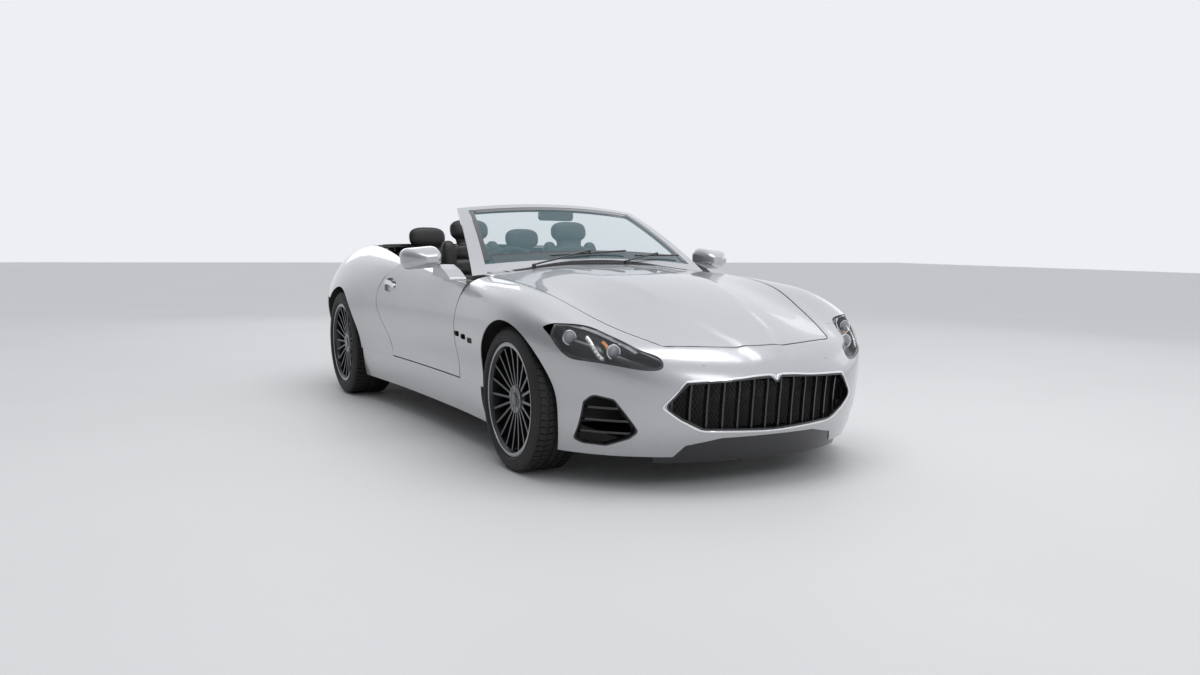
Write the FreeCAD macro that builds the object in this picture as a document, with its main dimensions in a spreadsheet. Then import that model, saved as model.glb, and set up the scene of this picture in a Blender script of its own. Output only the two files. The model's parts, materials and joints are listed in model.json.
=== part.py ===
"""Open four-seat grand tourer: a front-engined convertible with its soft top stowed.

Millimetres. +X points to the nose, +Y to the car's left, +Z up. The origin lies on the
ground under the middle of the car. The steering wheel is on the right.
"""
import FreeCAD
import Part
import Sketcher
import math
import os
from functools import lru_cache

from FreeCAD import Placement, Rotation, Vector

os.makedirs("parts", exist_ok=True)
doc = FreeCAD.newDocument("convertible")

# Driving dimensions

SIZES = [
    ("overall_length", 4910, "nose to tail"),
    ("wheelbase", 2942, "front axle to rear axle"),
    ("front_overhang", 880, "nose to front axle"),
    ("front_track", 1586, "between the front tyres' middles"),
    ("rear_track", 1590, "between the rear tyres' middles"),
    ("front_tyre_radius", 340, "245/35 R20"),
    ("rear_tyre_radius", 354, "285/35 R20"),
    ("front_tyre_width", 245, "section width"),
    ("rear_tyre_width", 285, "section width"),
    ("rim_radius", 254, "bead seat of a 20 inch rim"),
    ("rim_lip", 15, "flange above the bead seat"),
    ("spoke_count", 20, "wheel spokes"),
    ("front_arch", 374, "radius of the front wheel opening"),
    ("rear_arch", 388, "radius of the rear wheel opening"),
    ("front_liner", 412, "inner radius of the front wheelhouse"),
    ("rear_liner", 412, "inner radius of the rear wheelhouse"),
    ("liner_wall", 3, "wheelhouse liner"),
    ("shut_gap", 7, "gap round whatever opens"),
    ("skin", 4, "outer panel"),
    ("lid_depth", 22, "bonnet, boot lid and tonneau cover with their frames"),
    ("frame_inset", 45, "from a lid's edge to its frame"),
    ("door_depth", 100, "whole door, skin to trim"),
    ("door_lip", 14, "door edge ahead of the hinge"),
    ("sill_top", 352, "top of the side skirt"),
    ("sill_bottom", 168, "underside of the side skirt"),
    ("floor_height", 165, "underside of the floor pan"),
    ("sheet", 10, "floor, bulkheads and aprons"),
    ("bumper_bottom", 150, "lower edge of both bumpers"),
    ("bumper_top", 597, "front bumper's seam with the wings"),
    ("cowl_half_width", 680, "plenum under the windscreen"),
    ("rail_height", 360, "underside of the front rails"),
    ("rail_out", 470, "outer face of the front rails"),
    ("rail_width", 70, "front rail section"),
    ("rail_depth", 110, "front rail section"),
    ("rear_floor", 400, "underside of the floor over the rear axle"),
    ("rear_apron", 590, "inner wall of the rear wheelhouse"),
    ("disc_radius", 180, "front brake disc"),
    ("rear_disc_radius", 168, "rear brake disc"),
    ("disc_thickness", 30, "vented disc"),
    ("kingpin_inset", 78, "tyre middle to steering axis"),
    ("steering_wheel_radius", 182, "rim centre line"),
    ("steering_rim", 15, "thickness radius of the steering wheel's rim"),
    ("driver_offset", 350, "seat middle from the car's middle"),
    ("running_gap", 0.3, "between pieces that nearly touch"),
]

sheet = doc.addObject("Spreadsheet::Sheet", "sizes")
for row, (alias, number, note) in enumerate(SIZES, start=1):
    sheet.set(f"A{row}", alias)
    sheet.set(f"B{row}", str(number))
    sheet.set(f"C{row}", note)
    sheet.setAlias(f"B{row}", alias)
doc.recompute()


class Size:
    """A length that carries its value and the sheet expression that gives it."""

    def __init__(self, value, text):
        self.value = value
        self.text = text

    def joined(self, other, sign, result):
        return Size(result, f"({self.text} {sign} {text(other)})")

    def __add__(self, other):
        return self.joined(other, "+", self.value + value(other))

    def __sub__(self, other):
        return self.joined(other, "-", self.value - value(other))

    def __mul__(self, other):
        return self.joined(other, "*", self.value * value(other))

    def __truediv__(self, other):
        return self.joined(other, "/", self.value / value(other))

    def __neg__(self):
        return Size(-self.value, f"(0 - {self.text})")

    __radd__ = __add__
    __rmul__ = __mul__

    def __rsub__(self, other):
        return -self + other


def value(length):
    return length.value if isinstance(length, Size) else float(length)


def text(length):
    return length.text if isinstance(length, Size) else repr(float(length))


def size(alias):
    return Size(float(getattr(sheet, alias)), f"sizes.{alias}")


nose = size("overall_length") / 2
tail = -nose
front_axle = nose - size("front_overhang")
rear_axle = front_axle - size("wheelbase")
gap = size("running_gap")
shut = size("shut_gap")
NOSE = nose.value
TAIL = tail.value
FRONT_AXLE = front_axle.value
REAR_AXLE = rear_axle.value
GAP = gap.value
SHUT = shut.value
SKIN = size("skin").value

# Body lines: the surface that all outer panels share


def spline(points):
    """Natural cubic curve through a few (position, value) points, straight beyond its ends."""
    xs = [point[0] for point in points]
    ys = [point[1] for point in points]
    count = len(xs)
    bends = [0.0] * count
    sweep = [0.0] * count
    for i in range(1, count - 1):
        before = xs[i] - xs[i - 1]
        after = xs[i + 1] - xs[i]
        slope_change = (ys[i + 1] - ys[i]) / after - (ys[i] - ys[i - 1]) / before
        pivot = 2 * (before + after) - before * sweep[i - 1]
        sweep[i] = after / pivot
        bends[i] = (6 * slope_change - before * bends[i - 1]) / pivot
    for i in range(count - 2, 0, -1):
        bends[i] -= sweep[i] * bends[i + 1]

    def curve(x):
        x_in = min(max(x, xs[0]), xs[-1])
        i = 0
        while i < count - 2 and x_in > xs[i + 1]:
            i += 1
        step = xs[i + 1] - xs[i]
        b = (x_in - xs[i]) / step
        a = 1 - b
        y = a * ys[i] + b * ys[i + 1]
        y += ((a**3 - a) * bends[i] + (b**3 - b) * bends[i + 1]) * step * step / 6
        if x != x_in:
            slope = (ys[i + 1] - ys[i]) / step
            slope += ((1 - 3 * a * a) * bends[i] + (3 * b * b - 1) * bends[i + 1]) * step / 6
            y += slope * (x - x_in)
        return y

    return curve


def smooth_max(a, b, width):
    """The larger of two values, blended where they differ by less than width."""
    overlap = max(width - abs(a - b), 0) / width
    return max(a, b) + overlap**3 * width / 6


def ease(low, high, x):
    t = min(max((x - low) / (high - low), 0), 1)
    return t * t * t * (t * (6 * t - 15) + 10)


# Half width of the body at its widest height, along the car
plan_line = spline([(-2455, 855), (-1950, 912), (-1367, 957), (-800, 926), (-250, 903),
                    (400, 900), (1000, 915), (1575, 943), (2000, 934), (2455, 915)])
# How far the side leans in above and below that height, at the front and at the haunches
front_lean = spline([(120, -85), (200, -60), (320, -42), (430, -36), (540, -12), (640, 0),
                     (720, -5), (800, -24), (880, -56), (960, -110)])
rear_lean = spline([(120, -95), (250, -55), (430, -25), (600, 0), (700, -10), (800, -50),
                    (900, -112), (1000, -190), (1060, -245)])
# Height of the top along the car, on lines at four distances from its middle
TOP_LINES = [
    (0, spline([(-2455, 968), (-2300, 985), (-2000, 1020), (-1600, 1043), (-1200, 1042),
                (-500, 985), (300, 940), (800, 950), (1000, 936), (1300, 908), (1575, 866),
                (1880, 785), (2100, 708), (2270, 640), (2455, 560)])),
    (320, spline([(-2455, 966), (-2300, 983), (-2000, 1018), (-1600, 1041), (-1200, 1040),
                  (-500, 985), (300, 935), (800, 942), (1000, 926), (1300, 894), (1575, 846),
                  (1880, 764), (2100, 690), (2270, 630), (2455, 552)])),
    (580, spline([(-2455, 948), (-2300, 968), (-2000, 1006), (-1600, 1034), (-1200, 1036),
                  (-500, 985), (300, 915), (800, 912), (1000, 898), (1300, 862), (1575, 806),
                  (1880, 724), (2100, 664), (2270, 616), (2455, 545)])),
    (780, spline([(-2455, 860), (-2300, 895), (-2000, 948), (-1600, 1003), (-1200, 1025),
                  (-500, 972), (300, 905), (800, 898), (1000, 888), (1300, 868), (1575, 832),
                  (1880, 748), (2100, 680), (2270, 618), (2455, 540)])),
    (980, spline([(-2455, 790), (-2000, 880), (-1200, 985), (-500, 955), (300, 890),
                  (800, 872), (1300, 838), (1575, 802), (1880, 722), (2100, 655), (2455, 530)])),
]
TOP_WEIGHTS = [
    spline([(-980, float(k == 4)), (-780, float(k == 3)), (-580, float(k == 2)),
            (-320, float(k == 1)), (0, float(k == 0)), (320, float(k == 1)),
            (580, float(k == 2)), (780, float(k == 3)), (980, float(k == 4))])
    for k in range(5)
]
# Nose and tail seen from the side, at the middle of the car
nose_line = spline([(120, 2352), (170, 2378), (250, 2420), (340, 2448), (420, 2455), (500, 2446),
                    (580, 2420), (660, 2385), (800, 2310)])
tail_line = spline([(120, 2330), (250, 2415), (400, 2448), (520, 2455), (620, 2440), (700, 2408),
                    (800, 2395), (900, 2425), (980, 2450)])
NOSE_START = 1500
TAIL_START = -1500
NOSE_POWER = 2.4
TAIL_POWER = 2.7
SHOULDER = 150


def side_half_width(x, z):
    rear = ease(-400, -1500, x) if x < -400 else 0.0
    lean = (1 - rear) * front_lean(z) + rear * rear_lean(z)
    return plan_line(x) + lean


# Distance from the middle to the bonnet's creases, and the step in height across them
crease_line = spline([(1300, 330), (1619, 270), (1934, 200), (2173, 150), (2258, 120)])
CREASE_STEP = 7
CREASE_HALF = 26


def top_height(x, y):
    height = sum(line(x) * weight(y) for (_, line), weight in zip(TOP_LINES, TOP_WEIGHTS))
    if x < 1100:
        return height
    middle = crease_line(x)
    inside = 1 - ease(middle - CREASE_HALF, middle + CREASE_HALF, abs(y))
    return height + CREASE_STEP * inside * ease(1100, 1500, x)


def outside_side(x, y, z):
    """Below zero inside the body's sides, nose and tail, and above zero outside."""
    width = side_half_width(x, z)
    if x > NOSE_START:
        reach = (x - NOSE_START) / (nose_line(z) - NOSE_START)
        power = NOSE_POWER
    elif x < TAIL_START:
        reach = (x - TAIL_START) / (-tail_line(z) - TAIL_START)
        power = TAIL_POWER
    else:
        return abs(y) - width
    return width * (((abs(y) / width) ** power + reach**power) ** (1 / power) - 1)


def outside(x, y, z):
    """As outside_side, with the bonnet, belt line and deck."""
    return smooth_max(outside_side(x, y, z), z - top_height(x, y), SHOULDER)


def cast(start, way, shape=outside, far=2600.0):
    """Where a ray from inside the body meets its surface."""
    low = 0.0
    high = far
    step = 40.0
    reach = step
    while reach < far:
        if shape(start[0] + way[0] * reach, start[1] + way[1] * reach, start[2] + way[2] * reach) > 0:
            high = reach
            low = reach - step
            break
        reach += step
    for _ in range(22):
        middle = (low + high) / 2
        point = (start[0] + way[0] * middle, start[1] + way[1] * middle, start[2] + way[2] * middle)
        if shape(*point) > 0:
            high = middle
        else:
            low = middle
    return Vector(start[0] + way[0] * high, start[1] + way[1] * high, start[2] + way[2] * high)


def outward(point, shape=outside, step=0.5):
    """Unit normal of the body surface at a point."""
    x, y, z = point
    slope = Vector(
        shape(x + step, y, z) - shape(x - step, y, z),
        shape(x, y + step, z) - shape(x, y - step, z),
        shape(x, y, z + step) - shape(x, y, z - step),
    )
    return slope.normalize()


FAN = 620.0


def station(s):
    """Start and heading of the vertical plane at a distance s along the body.

    Planes stand square across the car in its middle, and fan out round the nose and tail.
    """
    if s > NOSE_START:
        turn = (s - NOSE_START) / FAN
        return NOSE_START, math.sin(turn), math.cos(turn)
    if s < TAIL_START:
        turn = (TAIL_START - s) / FAN
        return TAIL_START, -math.sin(turn), math.cos(turn)
    return s, 0.0, 1.0


# Solids from surfaces


def grid(rows, columns, point):
    return [[point(i / rows, j / columns) for j in range(columns + 1)] for i in range(rows + 1)]


def surface(points):
    fitted = Part.BSplineSurface()
    fitted.interpolate(points)
    return fitted


def between(outer, inner):
    """Closed solid between two surfaces given by like grids of points."""
    top = surface(outer)
    bottom = surface(inner)
    faces = [top.toShape(), bottom.toShape()]
    for edge_of in (
        lambda s: s.vIso(s.bounds()[2]),
        lambda s: s.vIso(s.bounds()[3]),
        lambda s: s.uIso(s.bounds()[0]),
        lambda s: s.uIso(s.bounds()[1]),
    ):
        faces.append(Part.makeRuledSurface(edge_of(top).toShape(), edge_of(bottom).toShape()))
    shell = Part.makeShell(faces)
    shell.sewShape()
    solid = Part.makeSolid(Part.Shell(shell.Faces))
    if solid.Volume < 0:
        solid.reverse()
    return solid


def panel(rows, columns, point, depth, start=0.0, shape=outside, way=None):
    """Solid of even depth under a patch of the body surface."""
    points = grid(rows, columns, point)

    def sunk(amount):
        return [[p - (way or outward(p, shape)) * amount for p in row] for row in points]

    return between(sunk(start) if start else points, sunk(start + depth))


def mirrored(shape):
    return shape.mirror(Vector(0, 0, 0), Vector(0, 1, 0))


def both(shape):
    return Part.makeCompound([shape, mirrored(shape)])


def block(x0, x1, y0, y1, z0, z1):
    """Box between two corners."""
    x0, x1, y0, y1, z0, z1 = [value(v) for v in (x0, x1, y0, y1, z0, z1)]
    return Part.makeBox(x1 - x0, y1 - y0, z1 - z0, Vector(x0, y0, z0))


def drum(radius, x, z, y0, y1):
    """Cylinder along Y."""
    return Part.makeCylinder(value(radius), value(y1) - value(y0), Vector(value(x), value(y0), value(z)),
                             Vector(0, 1, 0))


def one_solid(shape):
    solids = shape.Solids
    if len(solids) == 1:
        return solids[0]
    return max(solids, key=lambda solid: solid.Volume)


def loop_prism(points, way, near, far):
    """Smooth closed outline through points, carried along a direction."""
    flat = [p - way * p.dot(way) for p in points]
    curve = Part.BSplineCurve()
    curve.interpolate(flat, PeriodicFlag=True)
    face = Part.Face(Part.Wire(curve.toShape()))
    face.translate(way * near)
    return face.extrude(way * (far - near))


def rounded(points, radius, place):
    """Closed wire through corners that are rounded, with place putting (a, b) in space."""
    count = len(points)
    edges = []
    ends = []
    for i in range(count):
        corner = Vector(*points[i], 0)
        back = (Vector(*points[i - 1], 0) - corner)
        ahead = (Vector(*points[(i + 1) % count], 0) - corner)
        half = back.getAngle(ahead) / 2
        cut = min(radius / math.tan(half), 0.45 * back.Length, 0.45 * ahead.Length)
        first = corner + back.normalize() * cut
        last = corner + ahead.normalize() * cut
        depth = cut * (1 / math.cos(half) - math.tan(half))
        middle = corner + (back + ahead).normalize() * depth
        ends.append([place(p.x, p.y) for p in (first, middle, last)])
    for i in range(count):
        first, middle, last = ends[i]
        edges.append(Part.Arc(first, middle, last).toShape())
        following = ends[(i + 1) % count][0]
        if last.distanceToPoint(following) > 0.01:
            edges.append(Part.LineSegment(last, following).toShape())
    return Part.Wire(edges)


def profile_y(points, radius, y0, y1):
    """Side-view outline with rounded corners, carried across from y0 to y1."""
    wire = rounded(points, radius, lambda a, b: Vector(a, y0, b))
    return Part.Face(wire).extrude(Vector(0, y1 - y0, 0))


def profile_z(points, z0, z1):
    """Plan-view polygon, carried up from z0 to z1."""
    corners = [Vector(x, y, z0) for x, y in points]
    return Part.Face(Part.makePolygon(corners + corners[:1])).extrude(Vector(0, 0, z1 - z0))


def profile_x(points, radius, x0, x1):
    """Front-view outline with rounded corners, carried along the car."""
    wire = rounded(points, radius, lambda a, b: Vector(x0, a, b))
    return Part.Face(wire).extrude(Vector(x1 - x0, 0, 0))


def to_plane(points, sunk, y_plane):
    """Solid from a depth under side points in to an upright plane."""
    outer = [[Vector(p.x, p.y - sunk, p.z) for p in row] for row in points]
    inner = [[Vector(p.x, y_plane, p.z) for p in row] for row in points]
    return between(outer, inner)


def side_points(x0, x1, z0, z1, rows, columns):
    return grid(rows, columns, lambda u, v: cast((x0 + (x1 - x0) * u, 0, z0 + (z1 - z0) * v),
                                                 (0, 1, 0)))


nodes = []


def keep(label, shape):
    """A sub-part whose shape the body lines decide."""
    feature = doc.addObject("Part::Feature", label)
    feature.Shape = shape
    feature.Label = label
    nodes.append(feature)
    return feature


def keep_pair(label, shape, marks=("l", "r")):
    """The left piece of a mirrored pair and its right twin."""
    keep(f"{label}_{marks[0]}", shape)
    keep(f"{label}_{marks[1]}", mirrored(shape))


# Seams

bonnet_seam = spline([(850, 742), (1150, 722), (1500, 680), (1760, 622), (1980, 560), (2225, 460)])
BONNET_REAR = 850
BONNET_FRONT = 2312
BONNET_SWEEP = 87
door_front = spline([(300, 808), (480, 828), (650, 854), (780, 895), (864, 936), (960, 975)])
door_rear = spline([(330, -372), (442, -393), (580, -490), (696, -559), (800, -520),
                    (880, -420), (944, -291), (1000, -200)])
belt = spline([(-700, 985), (-291, 944), (388, 887), (678, 866), (936, 856)])
DECK_SEAM = -1745
COVER_FRONT = -1290
LID_HALF_WIDTH = 600
LID_LOW = 662
COVER_FRONT_HALF_WIDTH = 690
SILL_TOP = size("sill_top").value
SILL_BOTTOM = size("sill_bottom").value
BUMPER_BOTTOM = size("bumper_bottom").value
BUMPER_TOP = size("bumper_top").value
REAR_BUMPER_TOP = 655
FRONT_R = size("front_tyre_radius").value
REAR_R = size("rear_tyre_radius").value
FRONT_ARCH = size("front_arch").value
REAR_ARCH = size("rear_arch").value
COWL = size("cowl_half_width").value
LID = size("lid_depth").value
INSET = size("frame_inset").value
FLOOR = size("floor_height").value
SHEET = size("sheet").value
DOOR_LOW = SILL_TOP + SHUT
SILL_OUT = 814.7


def door_outline(grow, front_inset=0.0, rear_inset=0.0, low_inset=0.0, top=None):
    """Side view of a door, grown by a gap or drawn in, up to the belt or past it."""
    low = DOOR_LOW - grow + low_inset

    def edge(points):
        curve = Part.BSplineCurve()
        curve.interpolate([Vector(x, 0, z) for x, z in points])
        return curve.toShape()

    def front_x(z):
        return door_front(z) + grow - front_inset

    def rear_x(z):
        return door_rear(z) - grow + rear_inset

    if top:
        front_top = rear_top = top
    else:
        front_top = rear_top = 900
        for _ in range(12):
            front_top = belt(front_x(front_top))
            rear_top = belt(rear_x(rear_top))
    count = 8
    front = [low + (front_top - low) * i / count for i in range(count + 1)]
    rear = [rear_top + (low - rear_top) * i / count for i in range(count + 1)]
    across = [front_x(front_top) + (rear_x(rear_top) - front_x(front_top)) * i / count
              for i in range(count + 1)]
    upper = [(x, top or belt(x)) for x in across]
    upper[0] = (upper[0][0], front_top)
    upper[-1] = (upper[-1][0], rear_top)
    edges = [edge([(front_x(z), z) for z in front]), edge(upper), edge([(rear_x(z), z) for z in rear]),
             Part.LineSegment(Vector(rear_x(low), 0, low), Vector(front_x(low), 0, low)).toShape()]
    return Part.Face(Part.Wire(edges)).extrude(Vector(0, 1200, 0))


door_opening = door_outline(SHUT, top=1010)
front_wheel_opening = drum(FRONT_ARCH, FRONT_AXLE, FRONT_R, 500, 1100)
rear_wheel_opening = drum(REAR_ARCH, REAR_AXLE, REAR_R, 500, 1100)

# Lamps: outlines drawn on the body

LAMP_WAY = Vector(math.cos(math.radians(48)) * math.cos(math.radians(22)),
                  math.sin(math.radians(48)) * math.cos(math.radians(22)),
                  math.sin(math.radians(22)))
LAMP_OUTLINE = [(1881, 861, 706), (1902, 836, 718), (1945, 785, 720), (1984, 697, 708),
                (2049, 651, 683), (2148, 604, 648), (2236, 554, 613), (2303, 502, 573),
                (2316, 508, 552), (2296, 558, 537), (2248, 626, 545), (2167, 712, 562),
                (2096, 772, 571), (2044, 806, 577), (2004, 830, 599), (1953, 850, 646),
                (1902, 862, 687)]
LAMP_DEPTH = 58
COVER = 3
PROJECTORS = ((1968, 781, 660), (2133, 650, 606))
PROJECTOR_RADIUS = 33
TAIL_LAMP_MIDDLE = (640, 748)
TAIL_LAMP_SIZE = (150, 58)
TAIL_LAMP_WAY = Vector(-math.cos(math.radians(30)), math.sin(math.radians(30)), 0)


def lamp_prism(grow):
    points = [Vector(*point) for point in LAMP_OUTLINE]
    middle = sum(points, Vector()) / len(points)
    points = [p + (p - middle) * (grow / (p - middle).Length) for p in points]
    return loop_prism(points, LAMP_WAY, 1500, 2600)


def tail_lamp_prism(grow):
    across = Vector(TAIL_LAMP_WAY.y, -TAIL_LAMP_WAY.x, 0)
    y, z = TAIL_LAMP_MIDDLE
    middle = cast((TAIL_START, y, z), (-1, 0, 0))
    wide = TAIL_LAMP_SIZE[0] + grow
    high = TAIL_LAMP_SIZE[1] + grow
    points = [middle + across * (wide * math.cos(t)) + Vector(0, 0, high * math.sin(t))
              for t in (2 * math.pi * i / 16 for i in range(16))]
    return loop_prism(points, TAIL_LAMP_WAY, middle.dot(TAIL_LAMP_WAY) - 120,
                      middle.dot(TAIL_LAMP_WAY) + 120)


lamp_hole = lamp_prism(2)
tail_lamp_hole = tail_lamp_prism(2)

# Front wings

FAN_HEIGHT = 480
FAN_REACH = 430
NOSE_SEAM = 2030
WING_VENTS = ((890, 596), (992, 588), (1094, 577))


def turned(s, angle, reach, height):
    """Point of the body at a station, at an angle about a line inside the shoulder."""
    x, dx, dy = station(s)
    start = (x + reach * dx, reach * dy, height)
    return cast(start, (math.cos(angle) * dx, math.cos(angle) * dy, math.sin(angle)))


def solve(low, high, crossed):
    for _ in range(18):
        middle = (low + high) / 2
        if crossed(middle):
            high = middle
        else:
            low = middle
    return (low + high) / 2


@lru_cache(maxsize=None)
def wing_limits(s):
    """Angles of a wing's lower edge and of its seam with the bonnet."""
    top = solve(0.2, 2.2, lambda a: seam_passed(turned(s, a, FAN_REACH, FAN_HEIGHT)))
    bottom = solve(0.0, 1.3, lambda a: turned(s, -a, FAN_REACH, FAN_HEIGHT).z < SILL_BOTTOM + 20)
    return -bottom, top


def wing_point(u, v):
    s = 780 + (2126 - 780) * u
    low, high = wing_limits(s)
    return turned(s, low + (high - low) * v, FAN_REACH, FAN_HEIGHT)


def seam_passed(point):
    return abs(point.y) < bonnet_seam(point.x) + SHUT


def front_wing():
    wing = panel(22, 15, wing_point, SKIN)
    wing = wing.cut(front_wheel_opening)
    wing = wing.cut(door_opening)
    wing = wing.cut(block(600, 1300, 300, 1100, 100, SILL_TOP + GAP))
    wing = wing.cut(block(1700, 2600, 300, 1100, 100, BUMPER_TOP + GAP))
    wing = wing.cut(block(NOSE_SEAM, 2600, 300, 1100, 100, 1100))
    for x, z in WING_VENTS:
        vent = [(x - 46, z - 15), (x + 34, z - 13), (x + 46, z + 15), (x - 34, z + 13)]
        wing = wing.cut(profile_y(vent, 9, 700, 1100))
    wing = wing.cut(block(600, BONNET_REAR - 60, 0, 1100, 800, 1100))
    wing = wing.cut(lamp_hole)
    return one_solid(wing)


# Bonnet, boot lid and tonneau cover


def bonnet_spot(u, v, inset=0.0):
    across = 2 * v - 1
    rear = BONNET_REAR + inset
    front = BONNET_FRONT - BONNET_SWEEP * across**2 - inset
    x = rear + (front - rear) * u
    return x, across * (bonnet_seam(x) - inset)


def lid_slab(rows, columns, spot, base):
    """Lid with a thick middle and a thin edge, between the plan-view places that spot gives."""

    def on_body(inset):
        return lambda u, v: cast((*spot(u, v, inset), base), (0, 0, 1))

    steps = [i / 12 for i in range(12)]
    loop = [spot(i, 0, INSET) for i in steps] + [spot(1, i, INSET) for i in steps]
    loop += [spot(1 - i, 1, INSET) for i in steps] + [spot(0, 1 - i, INSET) for i in steps]
    under_edge = panel(rows, columns, on_body(-25), LID, SKIN).cut(profile_z(loop, 400, 1300))
    return panel(rows, columns, on_body(0), LID).cut(under_edge)


def hinge_ring(x, y, z, to_x, to_z=None):
    """Ear of a lid's hinge, with its arm to the lid's frame."""
    ear = drum(10, x, z, y - 6, y + 6)
    low = z - 8
    arm = block(min(x, to_x), max(x, to_x), y - 6, y + 6, low, to_z or z + 8)
    return ear.fuse(arm).cut(drum(5 + GAP, x, z, y - 20, y + 20))


def hinge_neck(x, y, z, way):
    """Ear of a rear lid's hinge, with a neck that passes under and behind the other lid's edge."""
    neck = [(-5, -8), (22, -47), (45, -44), (60, -22), (64, 2), (98, 10), (98, 22), (66, 18), (50, 4),
            (46, -14), (31, -31), (5, 6)]
    arm = profile_y([(x + way * ahead, z + up) for ahead, up in neck], 3, y - 6, y + 6)
    return drum(10, x, z, y - 6, y + 6).fuse(arm).cut(drum(5 + GAP, x, z, y - 20, y + 20))


def hinge_stand(x, y, z, base):
    """Two cheeks and a pin that carry a lid's hinge."""
    cheeks = [block(x - 10, x + 10, y + side * 9 - 2, y + side * 9 + 2, base, z) for side in (-1, 1)]
    tops = [drum(10, x, z, y + side * 9 - 2, y + side * 9 + 2) for side in (-1, 1)]
    stand = drum(5, x, z, y - 11, y + 11)
    return stand.multiFuse(cheeks + tops)


BONNET_PIVOT_X = BONNET_REAR - 90
BONNET_PIVOT_Y = 590
BONNET_PIVOT_Z = top_height(BONNET_PIVOT_X, BONNET_PIVOT_Y) - 27


def bonnet():
    slab = lid_slab(18, 28, bonnet_spot, 200)
    ears = [hinge_ring(BONNET_PIVOT_X, side * BONNET_PIVOT_Y, BONNET_PIVOT_Z,
                       BONNET_REAR + INSET + 8, BONNET_PIVOT_Z + 9) for side in (-1, 1)]
    return one_solid(slab.multiFuse(ears))


cover_edge = spline([(DECK_SEAM, LID_HALF_WIDTH), (-1500, 655), (COVER_FRONT, COVER_FRONT_HALF_WIDTH)])
COVER_REAR = DECK_SEAM + SHUT / 2
BOOT_FRONT = DECK_SEAM - SHUT / 2


def cover_spot(u, v, inset=0.0):
    x = COVER_FRONT - inset + (COVER_REAR - COVER_FRONT + 2 * inset) * u
    return x, (2 * v - 1) * (cover_edge(x) - inset)


LID_FAN = (-1900, 700)


@lru_cache(maxsize=None)
def tail_sweep(y):
    """How much further forward the tail lies at a distance from the middle."""
    return cast((TAIL_START, y, 800), (-1, 0, 0)).x - cast((TAIL_START, 0, 800), (-1, 0, 0)).x


def lid_ray(y, angle):
    x0, z0 = LID_FAN
    lag = math.sin(max(angle, 0)) ** 2
    return cast((x0 + tail_sweep(y) * lag, y, z0), (-math.sin(angle), 0, math.cos(angle)))


@lru_cache(maxsize=None)
def lid_limits(y, inset):
    first = solve(-1.2, 0.2, lambda a: lid_ray(y, a).x < BOOT_FRONT - inset)
    last = solve(0.5, 2.2, lambda a: lid_ray(y, a).z < LID_LOW + inset)
    return first, last


def lid_point(u, v, inset=0.0):
    y = (2 * v - 1) * (LID_HALF_WIDTH - inset)
    first, last = lid_limits(y, inset)
    return lid_ray(y, first + (last - first) * u)


COVER_PIVOT_X = COVER_REAR - 35
COVER_PIVOT_Y = 480
COVER_PIVOT_Z = top_height(COVER_PIVOT_X, COVER_PIVOT_Y) - 27
BOOT_PIVOT_X = BOOT_FRONT + 35
BOOT_PIVOT_Y = 420
BOOT_PIVOT_Z = top_height(BOOT_PIVOT_X, BOOT_PIVOT_Y) - 27


def tonneau_cover():
    slab = lid_slab(8, 12, cover_spot, 600)
    ears = [hinge_neck(COVER_PIVOT_X, side * COVER_PIVOT_Y, COVER_PIVOT_Z, 1) for side in (-1, 1)]
    return one_solid(slab.multiFuse(ears))


def boot_lid():
    slab = panel(24, 12, lid_point, LID)
    deep = panel(24, 12, lambda u, v: lid_point(u, v, -25), LID, SKIN)
    side = LID_HALF_WIDTH - INSET
    rebate = deep.cut(block(-2600, BOOT_FRONT - INSET, -side, side, LID_LOW + INSET, 1200))
    ears = [hinge_neck(BOOT_PIVOT_X, side * BOOT_PIVOT_Y, BOOT_PIVOT_Z, -1) for side in (-1, 1)]
    lid = slab.cut(rebate).multiFuse(ears)
    return one_solid(lid.cut(tail_lamp_hole).cut(mirrored(tail_lamp_hole)))


# Rear quarters

QUARTER_FAN = (430, 560)


def quarter_point(u, v):
    s = -200 + (-2290 + 200) * u
    angle = math.radians(-58 + (82 + 58) * v)
    return turned(s, angle, *QUARTER_FAN)


def rear_quarter():
    quarter = panel(26, 16, quarter_point, SKIN)
    edge = [COVER_FRONT + (DECK_SEAM - COVER_FRONT) * i / 10 for i in range(11)]
    deck = profile_z([(100, 0), (100, 790), (-330, 780)] + [(x, cover_edge(x) + SHUT) for x in edge]
                     + [(-2600, LID_HALF_WIDTH + SHUT), (-2600, 0)], 650, 1300)
    for hole in (deck, rear_wheel_opening, door_opening, tail_lamp_hole):
        quarter = quarter.cut(hole)
    quarter = quarter.cut(block(REAR_AXLE + REAR_ARCH - 6, 0, 0, 1100, -200, SILL_TOP + GAP))
    quarter = quarter.cut(block(-2600, REAR_AXLE - 200, 0, 1100, -200, REAR_BUMPER_TOP + GAP))
    quarter = quarter.cut(block(-340, 100, 0, 1100, 0, 1300).common(block(-340, 100, 0, 1100, 0, 700)))
    return one_solid(quarter)


# Doors

door_pin = (775, 845)
DOOR_HINGES = (470, 620)
PIN_RADIUS = 8
DOOR_LEAD = 115
DOOR_SWEEP = 178
CUP_DEPTH = 16
CUP = [(-444, 780), (-444, 832), (-340, 838), (-242, 814), (-240, 768), (-340, 752), (-420, 758)]
PULL = [(-436, 799), (-436, 826), (-340, 821), (-250, 804), (-250, 780), (-340, 795)]


def door_point(u, v):
    return cast((-640 + 1680 * u, 0, 340 + 680 * v), (0, 1, 0), outside_side)


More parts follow.
